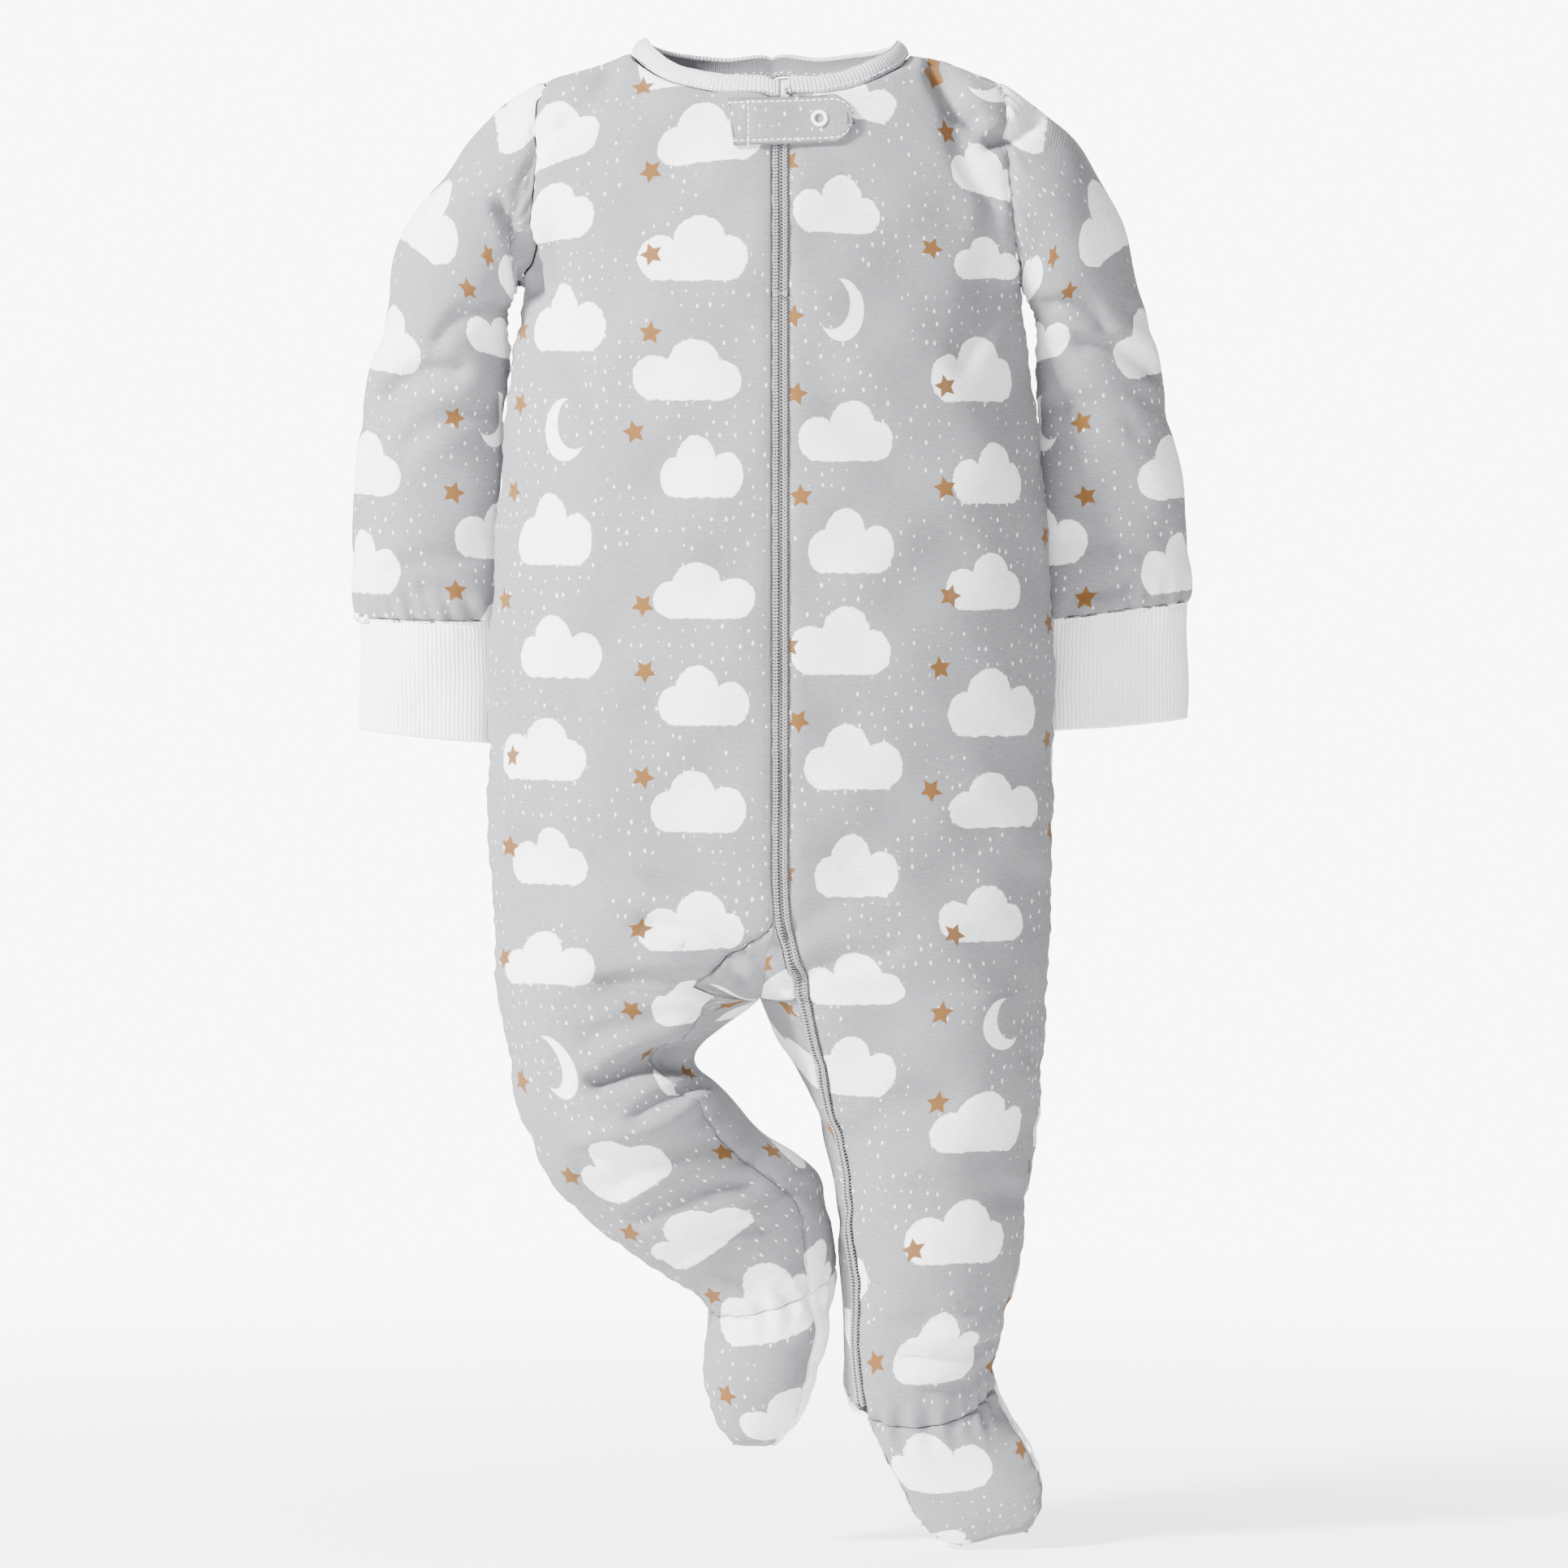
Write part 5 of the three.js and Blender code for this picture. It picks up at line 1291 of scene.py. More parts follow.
@dataclass
class SnapTab:
    """The tab over the top of the zip: a strip on the fronts, its right end rounded, and its snap ring.

    A groove is its depth, its distance from the edge where it has one, and its width.
    """

    relief: Relief
    left: float = -17.0
    slant: float = 2.6
    right: float = 30.5
    top: float = -13.6
    rise: float = 0.035
    height: float = 18.2
    corner: float = 8.0
    thick: float = 2.0
    cloth_thick: float = 1.8
    lift: float = 0.5
    columns: int = 64
    rows: int = 30
    bunch: float = 1.15
    halvings: int = 32
    small: float = 0.1
    edge_groove: Triple = (0.35, 1.9, 0.8)
    seam_groove: Pair = (0.3, 0.9)
    rounding: Pair = (0.5, 0.9)
    cut_place: Pair = (310.0, -46.0)
    seam_x: float = -8.6
    seam_end: float = 0.6
    stitch_inset: float = 0.105
    stitch_reach: float = 0.97
    stitch_end: float = 0.955
    stitch_counts: tuple[int, int, int] = (400, 120, 200)
    stitch_sink: float = 0.3
    stitch_step: float = 2.3
    stitch_size: Triple = (0.85, 0.27, 0.24)
    snap_place: Pair = (18.3, -21.2)
    snap_radius: Pair = (2.5, 0.72)
    snap_lift: Pair = (0.42, 0.5)
    snap_power: float = 0.7
    snap_mesh: tuple[int, int] = (72, 20)

    def yoke(self, x: Array, z: Array) -> Array:
        """The places on the front yoke at the given x and height, found by halving the span of rows."""
        above, below = np.ones_like(x), np.full_like(x, UNDERARM - 1.0)
        for _ in range(self.halvings):
            middle = (above + below) / 2
            shape = sections(LEFT, middle, False)
            high = shape.at(shape.angle_across(np.abs(x)))[:, 2] > z
            above, below = np.where(high, middle, above), np.where(high, below, middle)
        shape = sections(LEFT, above, False)
        points = shape.at(shape.angle_across(np.abs(x)))
        points[:, 0] = x
        return points

    def place(self, x: Array, z: Array, lift: float | Array) -> tuple[Array, Array]:
        """Places lifted off the yoke, and the way out of it."""
        along = self.yoke(x + self.small, z) - self.yoke(x - self.small, z)
        upward = self.yoke(x, z + self.small) - self.yoke(x, z - self.small)
        out = unit(np.cross(along, upward))
        points = self.yoke(x, z)
        return points + out * (np.asarray(lift) - self.relief.folds(points, out))[:, None], out

    def outline(self, share: Array, down: Array) -> tuple[Array, Array]:
        """x and z of the tab's face, from its left end (share 0) and its upper edge (down 0)."""
        x = self.left + (self.right - self.left) * np.sin(share * math.pi / 2) ** self.bunch
        past = np.maximum(x - (self.right - self.corner), 0)
        trim = self.corner - np.sqrt(np.maximum(self.corner ** 2 - past ** 2, 0))
        z = self.top + self.rise * (x - self.left) - trim - (self.height - 2 * trim) * down
        return x + self.slant * (1 - share) * down, z

    def build(self, name: str) -> Object:
        """The tab as a shell that is pressed in along its stitch lines and a little full between them."""
        down, share = np.meshgrid(np.linspace(0, 1, self.rows + 1), np.linspace(0, 1, self.columns + 1),
                                  indexing="ij")
        x, z = self.outline(share.ravel(), down.ravel())
        edge = np.minimum(down, 1 - down).ravel() * self.height
        edge = np.minimum(edge, (1 - share.ravel()) * (self.right - self.left))
        deep, inset, width = self.edge_groove
        seam_deep, seam_width = self.seam_groove
        round_deep, round_width = self.rounding
        press = (deep * np.exp(-(((edge - inset) / width) ** 2))
                 + seam_deep * np.exp(-(((x - self.seam_x) / seam_width) ** 2))
                 + round_deep * np.exp(-((edge / round_width) ** 2)))
        points, _ = self.place(x, z, self.lift + self.thick - press)
        grid = points.reshape(*share.shape, 3)
        cut = np.stack([x, z], axis=-1).reshape(*share.shape, 2) + np.array(self.cut_place)
        return Cloth([Patch("tab", grid, cut, False)], NO_RELIEF).cut_piece("tab", self.cloth_thick, name)

    def stitches(self, name: str) -> Object:
        """Topstitching inside the tab's edge, and across it where it is sewn down."""
        long, short, across = self.stitch_counts
        reach = np.linspace(0, 1, long) * self.stitch_reach
        inset, low = self.stitch_inset, 1 - self.stitch_inset
        legs = (
            self.outline(reach, np.full_like(reach, inset)),
            self.outline(np.full(short, self.stitch_end), np.linspace(inset, low, short)),
            self.outline(reach[::-1], np.full_like(reach, low)),
        )
        ends = (self.top - self.seam_end, self.top - self.height + self.seam_end)
        lines = (np.concatenate(legs, axis=1), (np.full(across, self.seam_x), np.linspace(*ends, across)))
        stitches = []
        for x, z in lines:
            points, out = self.place(x, z, self.lift + self.thick - self.stitch_sink)
            chosen, way = stitch_places(points, self.stitch_step)
            stitches.append((points[chosen], way, np.cross(out[chosen], way), out[chosen]))
        centre, *axes = (np.concatenate(values) for values in zip(*stitches))
        return beads(name, centre, tuple(axes), self.stitch_size, *STITCH_MESH)

    def snap(self, name: str) -> Object:
        """The open snap ring.

        Its profile is a superellipse round a circle: radius 2.5 + 0.72 cos b and lift 0.42 + 0.5 sin b,
        each of whose two parts is raised to the power 0.7.
        """
        x, z = (np.array([v]) for v in self.snap_place)
        centre, out = self.place(x, z, self.lift + self.thick)
        out = out[0]
        right = unit(np.array([1.0, 0, 0]) - out * out[0])
        up = np.cross(out, right)
        rounds = (np.linspace(0, 2 * math.pi, count, endpoint=False) for count in self.snap_mesh)
        turn, b = np.meshgrid(*rounds, indexing="ij")
        wave, rise = squared(b, self.snap_power)
        radius = self.snap_radius[0] + self.snap_radius[1] * wave
        lift = self.snap_lift[0] + self.snap_lift[1] * rise
        points = (centre[0] + out * lift[..., None] + right * (radius * np.cos(turn))[..., None]
                  + up * (radius * np.sin(turn))[..., None])
        ids = np.arange(turn.size).reshape(turn.shape)
        after, aside = np.roll(ids, -1, axis=0), np.roll(ids, -1, axis=1)
        faces = np.stack([ids, after, np.roll(after, -1, axis=1), aside], axis=-1).reshape(-1, 4)
        return write_mesh(name, points.reshape(-1, 3), faces.tolist())


def stitch_places(points: Array, step: float) -> tuple[Array, Array]:
    """Which points of a path the stitches stand on, a length apart, and the way of the path there."""
    walked = lengths(points, 0)
    chosen = np.searchsorted(walked, np.arange(step / 2, walked[-1], step))
    chosen = np.unique(chosen.clip(1, len(points) - 2))
    return chosen, unit(points[chosen + 1] - points[chosen - 1])


Colour = Triple


def adding(operation: str) -> Callable[..., "Term"]:
    """A method that adds a Math node of one operation."""

    def method(term: "Term", *others: "Value") -> "Term":
        """The node's result for this value and the others."""
        return term.nodes.math(operation, term, *others)

    return method


@dataclass(frozen=True)
class Term:
    """A value in a node tree, whose operators and methods add Math nodes to that tree."""

    nodes: "Nodes"
    socket: NodeSocket

    __add__ = adding("ADD")
    __sub__ = adding("SUBTRACT")
    __mul__ = adding("MULTIPLY")
    __truediv__ = adding("DIVIDE")
    __mod__ = adding("FLOORED_MODULO")
    __pow__ = adding("POWER")
    __gt__ = adding("GREATER_THAN")
    __abs__ = adding("ABSOLUTE")
    floor = adding("FLOOR")
    sine = adding("SINE")
    cosine = adding("COSINE")
    least = adding("MINIMUM")
    most = adding("MAXIMUM")

    def __rsub__(self, other: float) -> "Term":
        """What is left of a plain number."""
        return self.nodes.math("SUBTRACT", other, self)


Value = float | Colour | Term


def linear(red: float, green: float, blue: float) -> Colour:
    """A colour given as seen on a screen, from 0 to 255, in the renderer's own linear numbers."""
    return tuple(((v / 255 + 0.055) / 1.055) ** 2.4 if v > 10 else v / 3295 for v in (red, green, blue))


def shaded(colour: Colour, share: float) -> Colour:
    """A colour at a share of its brightness."""
    return tuple(share * v for v in colour)


class Nodes:
    """Builds the nodes of one material or node group."""

    def __init__(self, tree: NodeTree) -> None:
        """Empties the tree to build in."""
        self.tree = tree
        tree.nodes.clear()

    def add(self, kind: str, inputs: dict[str | int, Value], **settings: object) -> Node:
        """Adds a node, sets its properties, and fills or links its inputs."""
        node = self.tree.nodes.new(kind)
        for name, value in settings.items():
            setattr(node, name, value)
        for key, value in inputs.items():
            socket = node.inputs[key]
            if isinstance(value, Term):
                self.tree.links.new(value.socket, socket)
            elif isinstance(value, tuple) and socket.type == "RGBA":
                socket.default_value = (*value, 1.0)
            else:
                socket.default_value = value
        return node

    def term(self, kind: str, output: str | int, inputs: dict[str | int, Value],
             **settings: object) -> Term:
        """Adds a node and gives one of its outputs."""
        return Term(self, self.add(kind, inputs, **settings).outputs[output])

    def math(self, operation: str, *values: Value) -> Term:
        """A Math node's result."""
        return self.term("ShaderNodeMath", 0, dict(enumerate(values)), operation=operation)

    def vector(self, operation: str, *values: Value) -> Term:
        """A Vector Math node's result."""
        output = "Value" if operation in ("DISTANCE", "LENGTH") else "Vector"
        return self.term("ShaderNodeVectorMath", output, dict(enumerate(values)), operation=operation)

    def combine(self, x: Value, y: Value) -> Term:
        """A vector of x and y."""
        return self.term("ShaderNodeCombineXYZ", 0, {"X": x, "Y": y})

    def separate(self, vector: Value) -> tuple[Term, Term]:
        """x and y of a vector."""
        node = self.add("ShaderNodeSeparateXYZ", {0: vector})
        return Term(self, node.outputs["X"]), Term(self, node.outputs["Y"])

    def fade(self, value: Value, start: float, end: float) -> Term:
        """0 below the start and 1 above the end, or the other way round if the end is the lower one."""
        low, high = (0.0, 1.0) if end > start else (1.0, 0.0)
        inputs = {0: value, "From Min": min(start, end), "From Max": max(start, end),
                  "To Min": low, "To Max": high}
        return self.term("ShaderNodeMapRange", 0, inputs, interpolation_type="SMOOTHSTEP")

    def mix(self, share: Value, first: Value, second: Value) -> Term:
        """A mix of two colours."""
        return self.term("ShaderNodeMix", 2, {0: share, 6: first, 7: second}, data_type="RGBA")

    def noise(self, vector: Value, scale: float, detail: float = 2.0) -> Term:
        """A noise value."""
        return self.term("ShaderNodeTexNoise", "Fac", {"Vector": vector, "Scale": scale, "Detail": detail})

    def bump(self, height: Value, distance: float) -> Term:
        """A normal raised by a height."""
        return self.term("ShaderNodeBump", 0, {"Height": height, "Distance": distance, "Strength": 1.0})

    def camera_sees(self) -> Term:
        """1 for what the camera sees directly, and else 0."""
        return self.term("ShaderNodeLightPath", "Is Camera Ray", {})


class Effect:
    """A shared effect, made once as a node group that takes the cloth's place in millimetres."""

    title = ""
    outputs: tuple[str, ...] = ("Height",)
    _made: NodeTree | None = None

    @classmethod
    def use(cls, nodes: Nodes, place: Term) -> dict[str, Term]:
        """The effect's outputs by name, from its node group in use at a place of the cloth."""
        if cls._made is None:
            cls._made = cls._make()
        node = nodes.add("ShaderNodeGroup", {"Place": place}, node_tree=cls._made)
        return {name: Term(nodes, node.outputs[name]) for name in cls.outputs}

    @classmethod
    def _make(cls) -> NodeTree:
        """Makes the node group."""
        tree = bpy.data.node_groups.new(cls.title, "ShaderNodeTree")
        nodes = Nodes(tree)
        tree.interface.new_socket("Place", in_out="INPUT", socket_type="NodeSocketVector")
        for name in cls.outputs:
            tree.interface.new_socket(name, in_out="OUTPUT", socket_type="NodeSocketFloat")
        place = nodes.term("NodeGroupInput", "Place", {})
        nodes.add("NodeGroupOutput", dict(enumerate(cls.build(nodes, place))))
        return tree

    @classmethod
    def build(cls, nodes: Nodes, place: Term) -> tuple[Term, ...]:
        """The effect's outputs, in order."""
        raise NotImplementedError


class Heather(Effect):
    """Blended yarns: short level flecks over soft patches, from 0 to 1."""

    title = "heather yarn"
    outputs = ("Fleck", "Patch")
    stretch = (0.28, 1.5, 1.0)
    fleck_range = (0.36, 0.64)
    patch_scale = 0.045

    @classmethod
    def build(cls, nodes: Nodes, place: Term) -> tuple[Term, ...]:
        """Flecks from noise that is stretched across the cloth."""
        fleck = nodes.noise(nodes.vector("MULTIPLY", place, cls.stretch), 1.0, 3.0)
        return nodes.fade(fleck, *cls.fleck_range), nodes.noise(place, cls.patch_scale)


class Jersey(Effect):
    """Plain knit: upright wales of small stitches, as a height from 0 to 1."""

    title = "jersey knit"
    wale = 0.9
    course = 0.8
    lean = 1.3
    wale_share = 0.5
    course_share = 0.18
    fuzz_scale = 1.9
    fuzz_share = 0.5

    @classmethod
    def build(cls, nodes: Nodes, place: Term) -> tuple[Term, ...]:
        """Wales |sin(pi x / 0.9)| whose stitches lean by the wale's side."""
        x, y = nodes.separate(place)
        wale = abs((x * (math.pi / cls.wale)).sine())
        course = (y * (2 * math.pi / cls.course) + wale * cls.lean).sine()
        fuzz = nodes.noise(place, cls.fuzz_scale, 3.0)
        return (wale * cls.wale_share + course * cls.course_share + fuzz * cls.fuzz_share,)


class Ribs(Effect):
    """Rib knit: upright ribs, as a height from 0 to 1, and a mask of the valleys between them for painted
    shade.
    """

    title = "rib knit"
    outputs = ("Height", "Valley")
    pitch = 1.7
    power = 0.6
    course = 0.9
    course_share = 0.08
    stretch = 0.3
    sway_scale = 0.12
    sway = 1.4
    # Painted shade in the valleys: none where the rib stands above the first number, full below the second
    valley_shade_range = (0.45, 0.05)

    @classmethod
    def build(cls, nodes: Nodes, place: Term) -> tuple[Term, ...]:
        """Ribs |sin(pi x / 1.7)|^0.6, a little uneven along their length."""
        x, y = nodes.separate(place)
        sway = nodes.noise(nodes.combine(x * cls.stretch, y), cls.sway_scale) * cls.sway
        rib = abs(((x + sway) * (math.pi / cls.pitch)).sine())
        course = (y * (2 * math.pi / cls.course)).sine() * cls.course_share
        # The second output marks the valleys, where painted shade goes
        return rib ** cls.power + course, nodes.fade(rib, *cls.valley_shade_range)


class Woven(Effect):
    """Plain weave of the zip's tape, as a height from 0 to 1."""

    title = "tape weave"
    thread = 0.5

    @classmethod
    def build(cls, nodes: Nodes, place: Term) -> tuple[Term, ...]:
        """Crossing threads: 1/2 + 1/2 sin(2 pi x / 0.5) sin(2 pi y / 0.5)."""
        warp, weft = ((v * (2 * math.pi / cls.thread)).sine() for v in nodes.separate(place))
        return (warp * weft * 0.5 + 0.5,)


class NightSky(Effect):
    """Printed clouds, moons and specks, and small five-pointed stars, in half-dropped cells of their own.

    A motif is how far a place lies outside it, in millimetres, and negative inside it. Ranges are two
    ends between which the cell's own chance chooses.
    """

    title = "night sky print"
    outputs = ("White", "Star")
    cell = (58.0, 42.0)
    # Where a cell's cloud or moon stands, and its own scale across and up
    shift_ranges = ((-3.0, 3.0), (-4.0, 4.0))
    middle = (3.0, -3.0, 0.0)
    scale_ranges = ((0.82, 1.12), (0.72, 0.94))
    wobble_scale = 0.35
    wobble = 1.6
    # A cloud: the middle and half sizes of its base, its lowest level, and its lobes as x, y and radius
    base = (0.5, -4.5, 12.5, 4.5)
    bottom = -9.0
    lobes = ((-11.5, -2.5, 6.5), (-2.5, 2.2, 8.6), (10.5, -1.8, 7.2))
    # A moon: its disc and the disc that is taken from it, and the chance above which a cell has one
    moon = (0.0, 0.0, 9.0)
    shadow = (4.2, 2.0, 7.6)
    moon_chance = 0.78
    # A star: where it stands, its radius, and the radius between two points as a share of it
    star_ranges = ((-26.0, -17.0), (-12.0, 14.0))
    star_size = 4.8
    star_waist = 0.5
    # Specks: their spacing, how far each moves in its square, their sizes, how much height counts against
    # width, and what is trimmed from each one's size
    speck_spacing = (5.2, 6.1)
    speck_ranges = ((-0.3, 0.3), (-0.25, 0.25))
    speck_sizes = (0.4, 0.75)
    speck_height = 3.6
    speck_trim = 0.25
    shower_scale = 0.035
    shower_range = (0.46, 0.5)
    # Half the width over which an edge of the white ink and of the star's ink fades
    white_edge = 0.25
    star_edge = 0.2

    @classmethod
    def chance(cls, nodes: Nodes, cell: Term, seed: float, low: float, high: float) -> Term:
        """A number between two ends that belongs to a cell."""
        shifted = nodes.vector("ADD", cell, (seed, seed * 1.7, 0.5))
        share = nodes.term("ShaderNodeTexWhiteNoise", "Value", {"Vector": shifted}, noise_dimensions="3D")
        return share * (high - low) + low

    @classmethod
    def chances(cls, nodes: Nodes, cell: Term, seeds: Pair, ranges: tuple[Pair, Pair]) -> list[Term]:
        """Two numbers that belong to a cell, each between its own two ends."""
        return [cls.chance(nodes, cell, seed, *ends) for seed, ends in zip(seeds, ranges)]

    @classmethod
    def disc(cls, nodes: Nodes, at: Term, x: float, y: float, radius: float) -> Term:
        """A disc."""
        return nodes.vector("DISTANCE", at, (x, y, 0.0)) - radius

    @classmethod
    def specks(cls, nodes: Nodes, place: Term) -> Term:
        """Small upright specks, one in each small square of cloth, in loose showers."""
        wide, tall = cls.speck_spacing
        small = nodes.vector("MULTIPLY", place, (1 / wide, 1 / tall, 1.0))
        home = nodes.vector("FLOOR", small)
        x, y = nodes.separate(nodes.vector("SUBTRACT", nodes.vector("FRACTION", small), (0.5, 0.5, 0.0)))
        aside, above = cls.chances(nodes, home, (21.0, 23.0), cls.speck_ranges)
        length = nodes.vector("LENGTH", nodes.combine((x + aside) * wide, (y + above) * cls.speck_height))
        shower = nodes.fade(nodes.noise(place, cls.shower_scale, 1.0), *cls.shower_range)
        return length + cls.speck_trim - cls.chance(nodes, home, 27.0, *cls.speck_sizes) * shower

    @classmethod
    def cloud(cls, nodes: Nodes, at: Term) -> Term:
        """A flat-based cloud of three lobes."""
        x, y = nodes.separate(at)
        middle_x, middle_y, half_width, half_height = cls.base
        shape = (abs(x - middle_x) - half_width).most(abs(y - middle_y) - half_height)
        for lobe in cls.lobes:
            shape = shape.least(cls.disc(nodes, at, *lobe))
        return shape.most(cls.bottom - y)

    @classmethod
    def star(cls, nodes: Nodes, at: Term, turn: Term) -> Term:
        """A five-pointed star: the distance past its edge, folded onto half of one point."""
        x, y = nodes.separate(at)
        fifth = 2 * math.pi / 5
        angle = nodes.math("ARCTAN2", y, x) + turn
        folded = abs(angle % fifth - fifth / 2)
        radius = nodes.vector("LENGTH", at)
        waist = np.array([cls.star_waist, 0.0])
        edge = np.array([math.cos(fifth / 2), math.sin(fifth / 2)]) - waist
        normal = np.array([edge[1], -edge[0]]) / np.linalg.norm(edge)
        past = radius * folded.cosine() * float(normal[0]) + radius * folded.sine() * float(normal[1])
        return past - float(normal @ waist) * cls.star_size

    @classmethod
    def build(cls, nodes: Nodes, place: Term) -> tuple[Term, ...]:
        """The motifs of each cell, chosen and shifted by the cell's own chance."""
        width, height = cls.cell
        x, y = nodes.separate(place)
        column = (x / width).floor()
        y = y + column % 2.0 * (height / 2)
        cell = nodes.combine(column, (y / height).floor())
        at = nodes.combine(x % width - width / 2, y % height - height / 2)
        shift = nodes.combine(*cls.chances(nodes, cell, (5.0, 6.0), cls.shift_ranges))
        flip = (cls.chance(nodes, cell, 8.0, 0.0, 1.0) > 0.5) * 2.0 - 1.0
        wide, tall = cls.chances(nodes, cell, (31.0, 33.0), cls.scale_ranges)
        moved = nodes.vector("MULTIPLY", nodes.vector("ADD", at, shift), nodes.combine(flip * wide, tall))
        moved = nodes.vector("SUBTRACT", moved, cls.middle)
        cloud = cls.cloud(nodes, moved) + (nodes.noise(place, cls.wobble_scale) - 0.5) * cls.wobble
        moon = cls.disc(nodes, moved, *cls.moon).most(cls.disc(nodes, moved, *cls.shadow) * -1.0)
        is_moon = cls.chance(nodes, cell, 3.0, 0.0, 1.0) > cls.moon_chance
        white = (cloud * (1.0 - is_moon) + moon * is_moon).least(cls.specks(nodes, place))
        spot = nodes.combine(*cls.chances(nodes, cell, (15.0, 17.0), cls.star_ranges))
        turn = cls.chance(nodes, cell, 11.0, 0.0, 2 * math.pi)
        star = cls.star(nodes, nodes.vector("SUBTRACT", at, spot), turn)
        return (nodes.fade(white, cls.white_edge, -cls.white_edge),
                nodes.fade(star, cls.star_edge, -cls.star_edge))


class Fibre(Enum):
    """The kinds of surface, each with roughness, sheen and sheen roughness."""

    COTTON = (0.95, 0.04, 0.6)
    POLYESTER = (0.75, 0.04, 0.45)
    THREAD = (0.6, 0.03, 0.4)
    NYLON = (0.42, 0.0, 0.5)
    PLASTIC = (0.22, 0.0, 0.5)


class Fibre(Enum):
    """The kinds of surface, each with roughness, sheen and sheen roughness."""

    COTTON = (0.95, 0.04, 0.6)
    POLYESTER = (0.75, 0.04, 0.45)
    THREAD = (0.6, 0.03, 0.4)
    NYLON = (0.42, 0.0, 0.5)
    PLASTIC = (0.22, 0.0, 0.5)


@dataclass(frozen=True)
class Finish:
    """A finish: its name, its fibre, its colour, and how high its surface is raised, in metres."""

    name: str
    fibre: Fibre
    colour: Colour
    raised: float = 0.00004
    darker: float = 0.9
    wear_scale: float = 0.6
    grain_scale: float = 3.0

    def shade(self, nodes: Nodes, place: Term) -> tuple[Term, Term]:
        """The finish's colour and height at a place of the cloth."""
        wear = nodes.noise(place, self.wear_scale, 3.0)
        colour = nodes.mix(wear, shaded(self.colour, self.darker), self.colour)
        return colour, nodes.noise(place, self.grain_scale)

    def material(self) -> Material:
        """The material."""
        material = bpy.data.materials.new(self.name)
        material.use_nodes = True
        nodes = Nodes(material.node_tree)
        place = nodes.vector("MULTIPLY", self.source(nodes), (1 / MM, 1 / MM, 1 / MM))
        colour, height = self.shade(nodes, place)
        roughness, sheen, sheen_roughness = self.fibre.value
        shader = nodes.term("ShaderNodeBsdfPrincipled", 0, {
            "Base Color": colour, "Roughness": roughness, "Sheen Weight": sheen,
            "Sheen Roughness": sheen_roughness, "Normal": nodes.bump(height, self.raised),
        })
        nodes.add("ShaderNodeOutputMaterial", {"Surface": shader})
        return material

    def source(self, nodes: Nodes) -> Term:
        """Where the finish reads its place, in metres: here the object's own space."""
        return nodes.term("ShaderNodeTexCoord", "Object", {})


@dataclass(frozen=True)
class CutFinish(Finish):
    """A finish that reads its place from the cut of the cloth."""

    def source(self, nodes: Nodes) -> Term:
        """The cut's UV map, in metres."""
        return nodes.term("ShaderNodeUVMap", 0, {}, uv_map="cut")


@dataclass(frozen=True)
class HeatherJersey(CutFinish):
    """Heather jersey, printed or plain."""

    raised: float = 0.00013
    shadow: Colour = linear(108, 109, 114)
    fleck_share: float = 0.62
    patch_share: float = 0.5
    printed: bool = False
    motif: Colour = linear(236, 236, 239)
    motif_cover: Pair = (0.8, 0.16)
    star: Colour = (0.12, 0.047, 0.002)
    star_cover: float = 0.98

    def shade(self, nodes: Nodes, place: Term) -> tuple[Term, Term]:
        """Heather ground under the print, whose ink lets a little of the flecks through."""
        heather = Heather.use(nodes, place)
        share = heather["Fleck"] * self.fleck_share + heather["Patch"] * self.patch_share
        colour = nodes.mix(share, self.shadow, self.colour)
        if self.printed:
            ink = NightSky.use(nodes, place)
            least, more = self.motif_cover
            colour = nodes.mix(ink["White"] * (heather["Fleck"] * more + least), colour, self.motif)
            colour = nodes.mix(ink["Star"] * self.star_cover, colour, self.star)
        return colour, Jersey.use(nodes, place)["Height"]


@dataclass(frozen=True)
class RibFinish(CutFinish):
    """Rib knit with painted shade in its valleys."""

    raised: float = 0.00026
    # Share of the rib's brightness in the painted valley shade, and how strongly that painted shade is laid
    # on
    darker: float = 0.86
    valley_shade_share: float = 0.7

    def shade(self, nodes: Nodes, place: Term) -> tuple[Term, Term]:
        """Ribs with painted shade in the valleys between them."""
        ribs = Ribs.use(nodes, place)
        # Painted shade: the valleys get a darker copy of the rib's own colour
        valley_shade = shaded(self.colour, self.darker)
        return nodes.mix(ribs["Valley"] * self.valley_shade_share, self.colour, valley_shade), ribs["Height"]


@dataclass(frozen=True)
class WovenTape(CutFinish):
    """Woven tape with painted shade on its low threads."""

    raised: float = 0.00008
    # Share of the tape's brightness on the low threads, as painted shade
    darker: float = 0.72

    def shade(self, nodes: Nodes, place: Term) -> tuple[Term, Term]:
        """Crossing threads, the low ones darker with painted shade."""
        height = Woven.use(nodes, place)["Height"]
        # Painted shade: the low threads get a darker copy of the tape's colour
        return nodes.mix(height, shaded(self.colour, self.darker), self.colour), height


WHITE = (1.0, 1.0, 1.0)
GROUND = linear(124, 124, 126)
PRINTED = HeatherJersey("printed heather jersey", Fibre.COTTON, GROUND, printed=True)
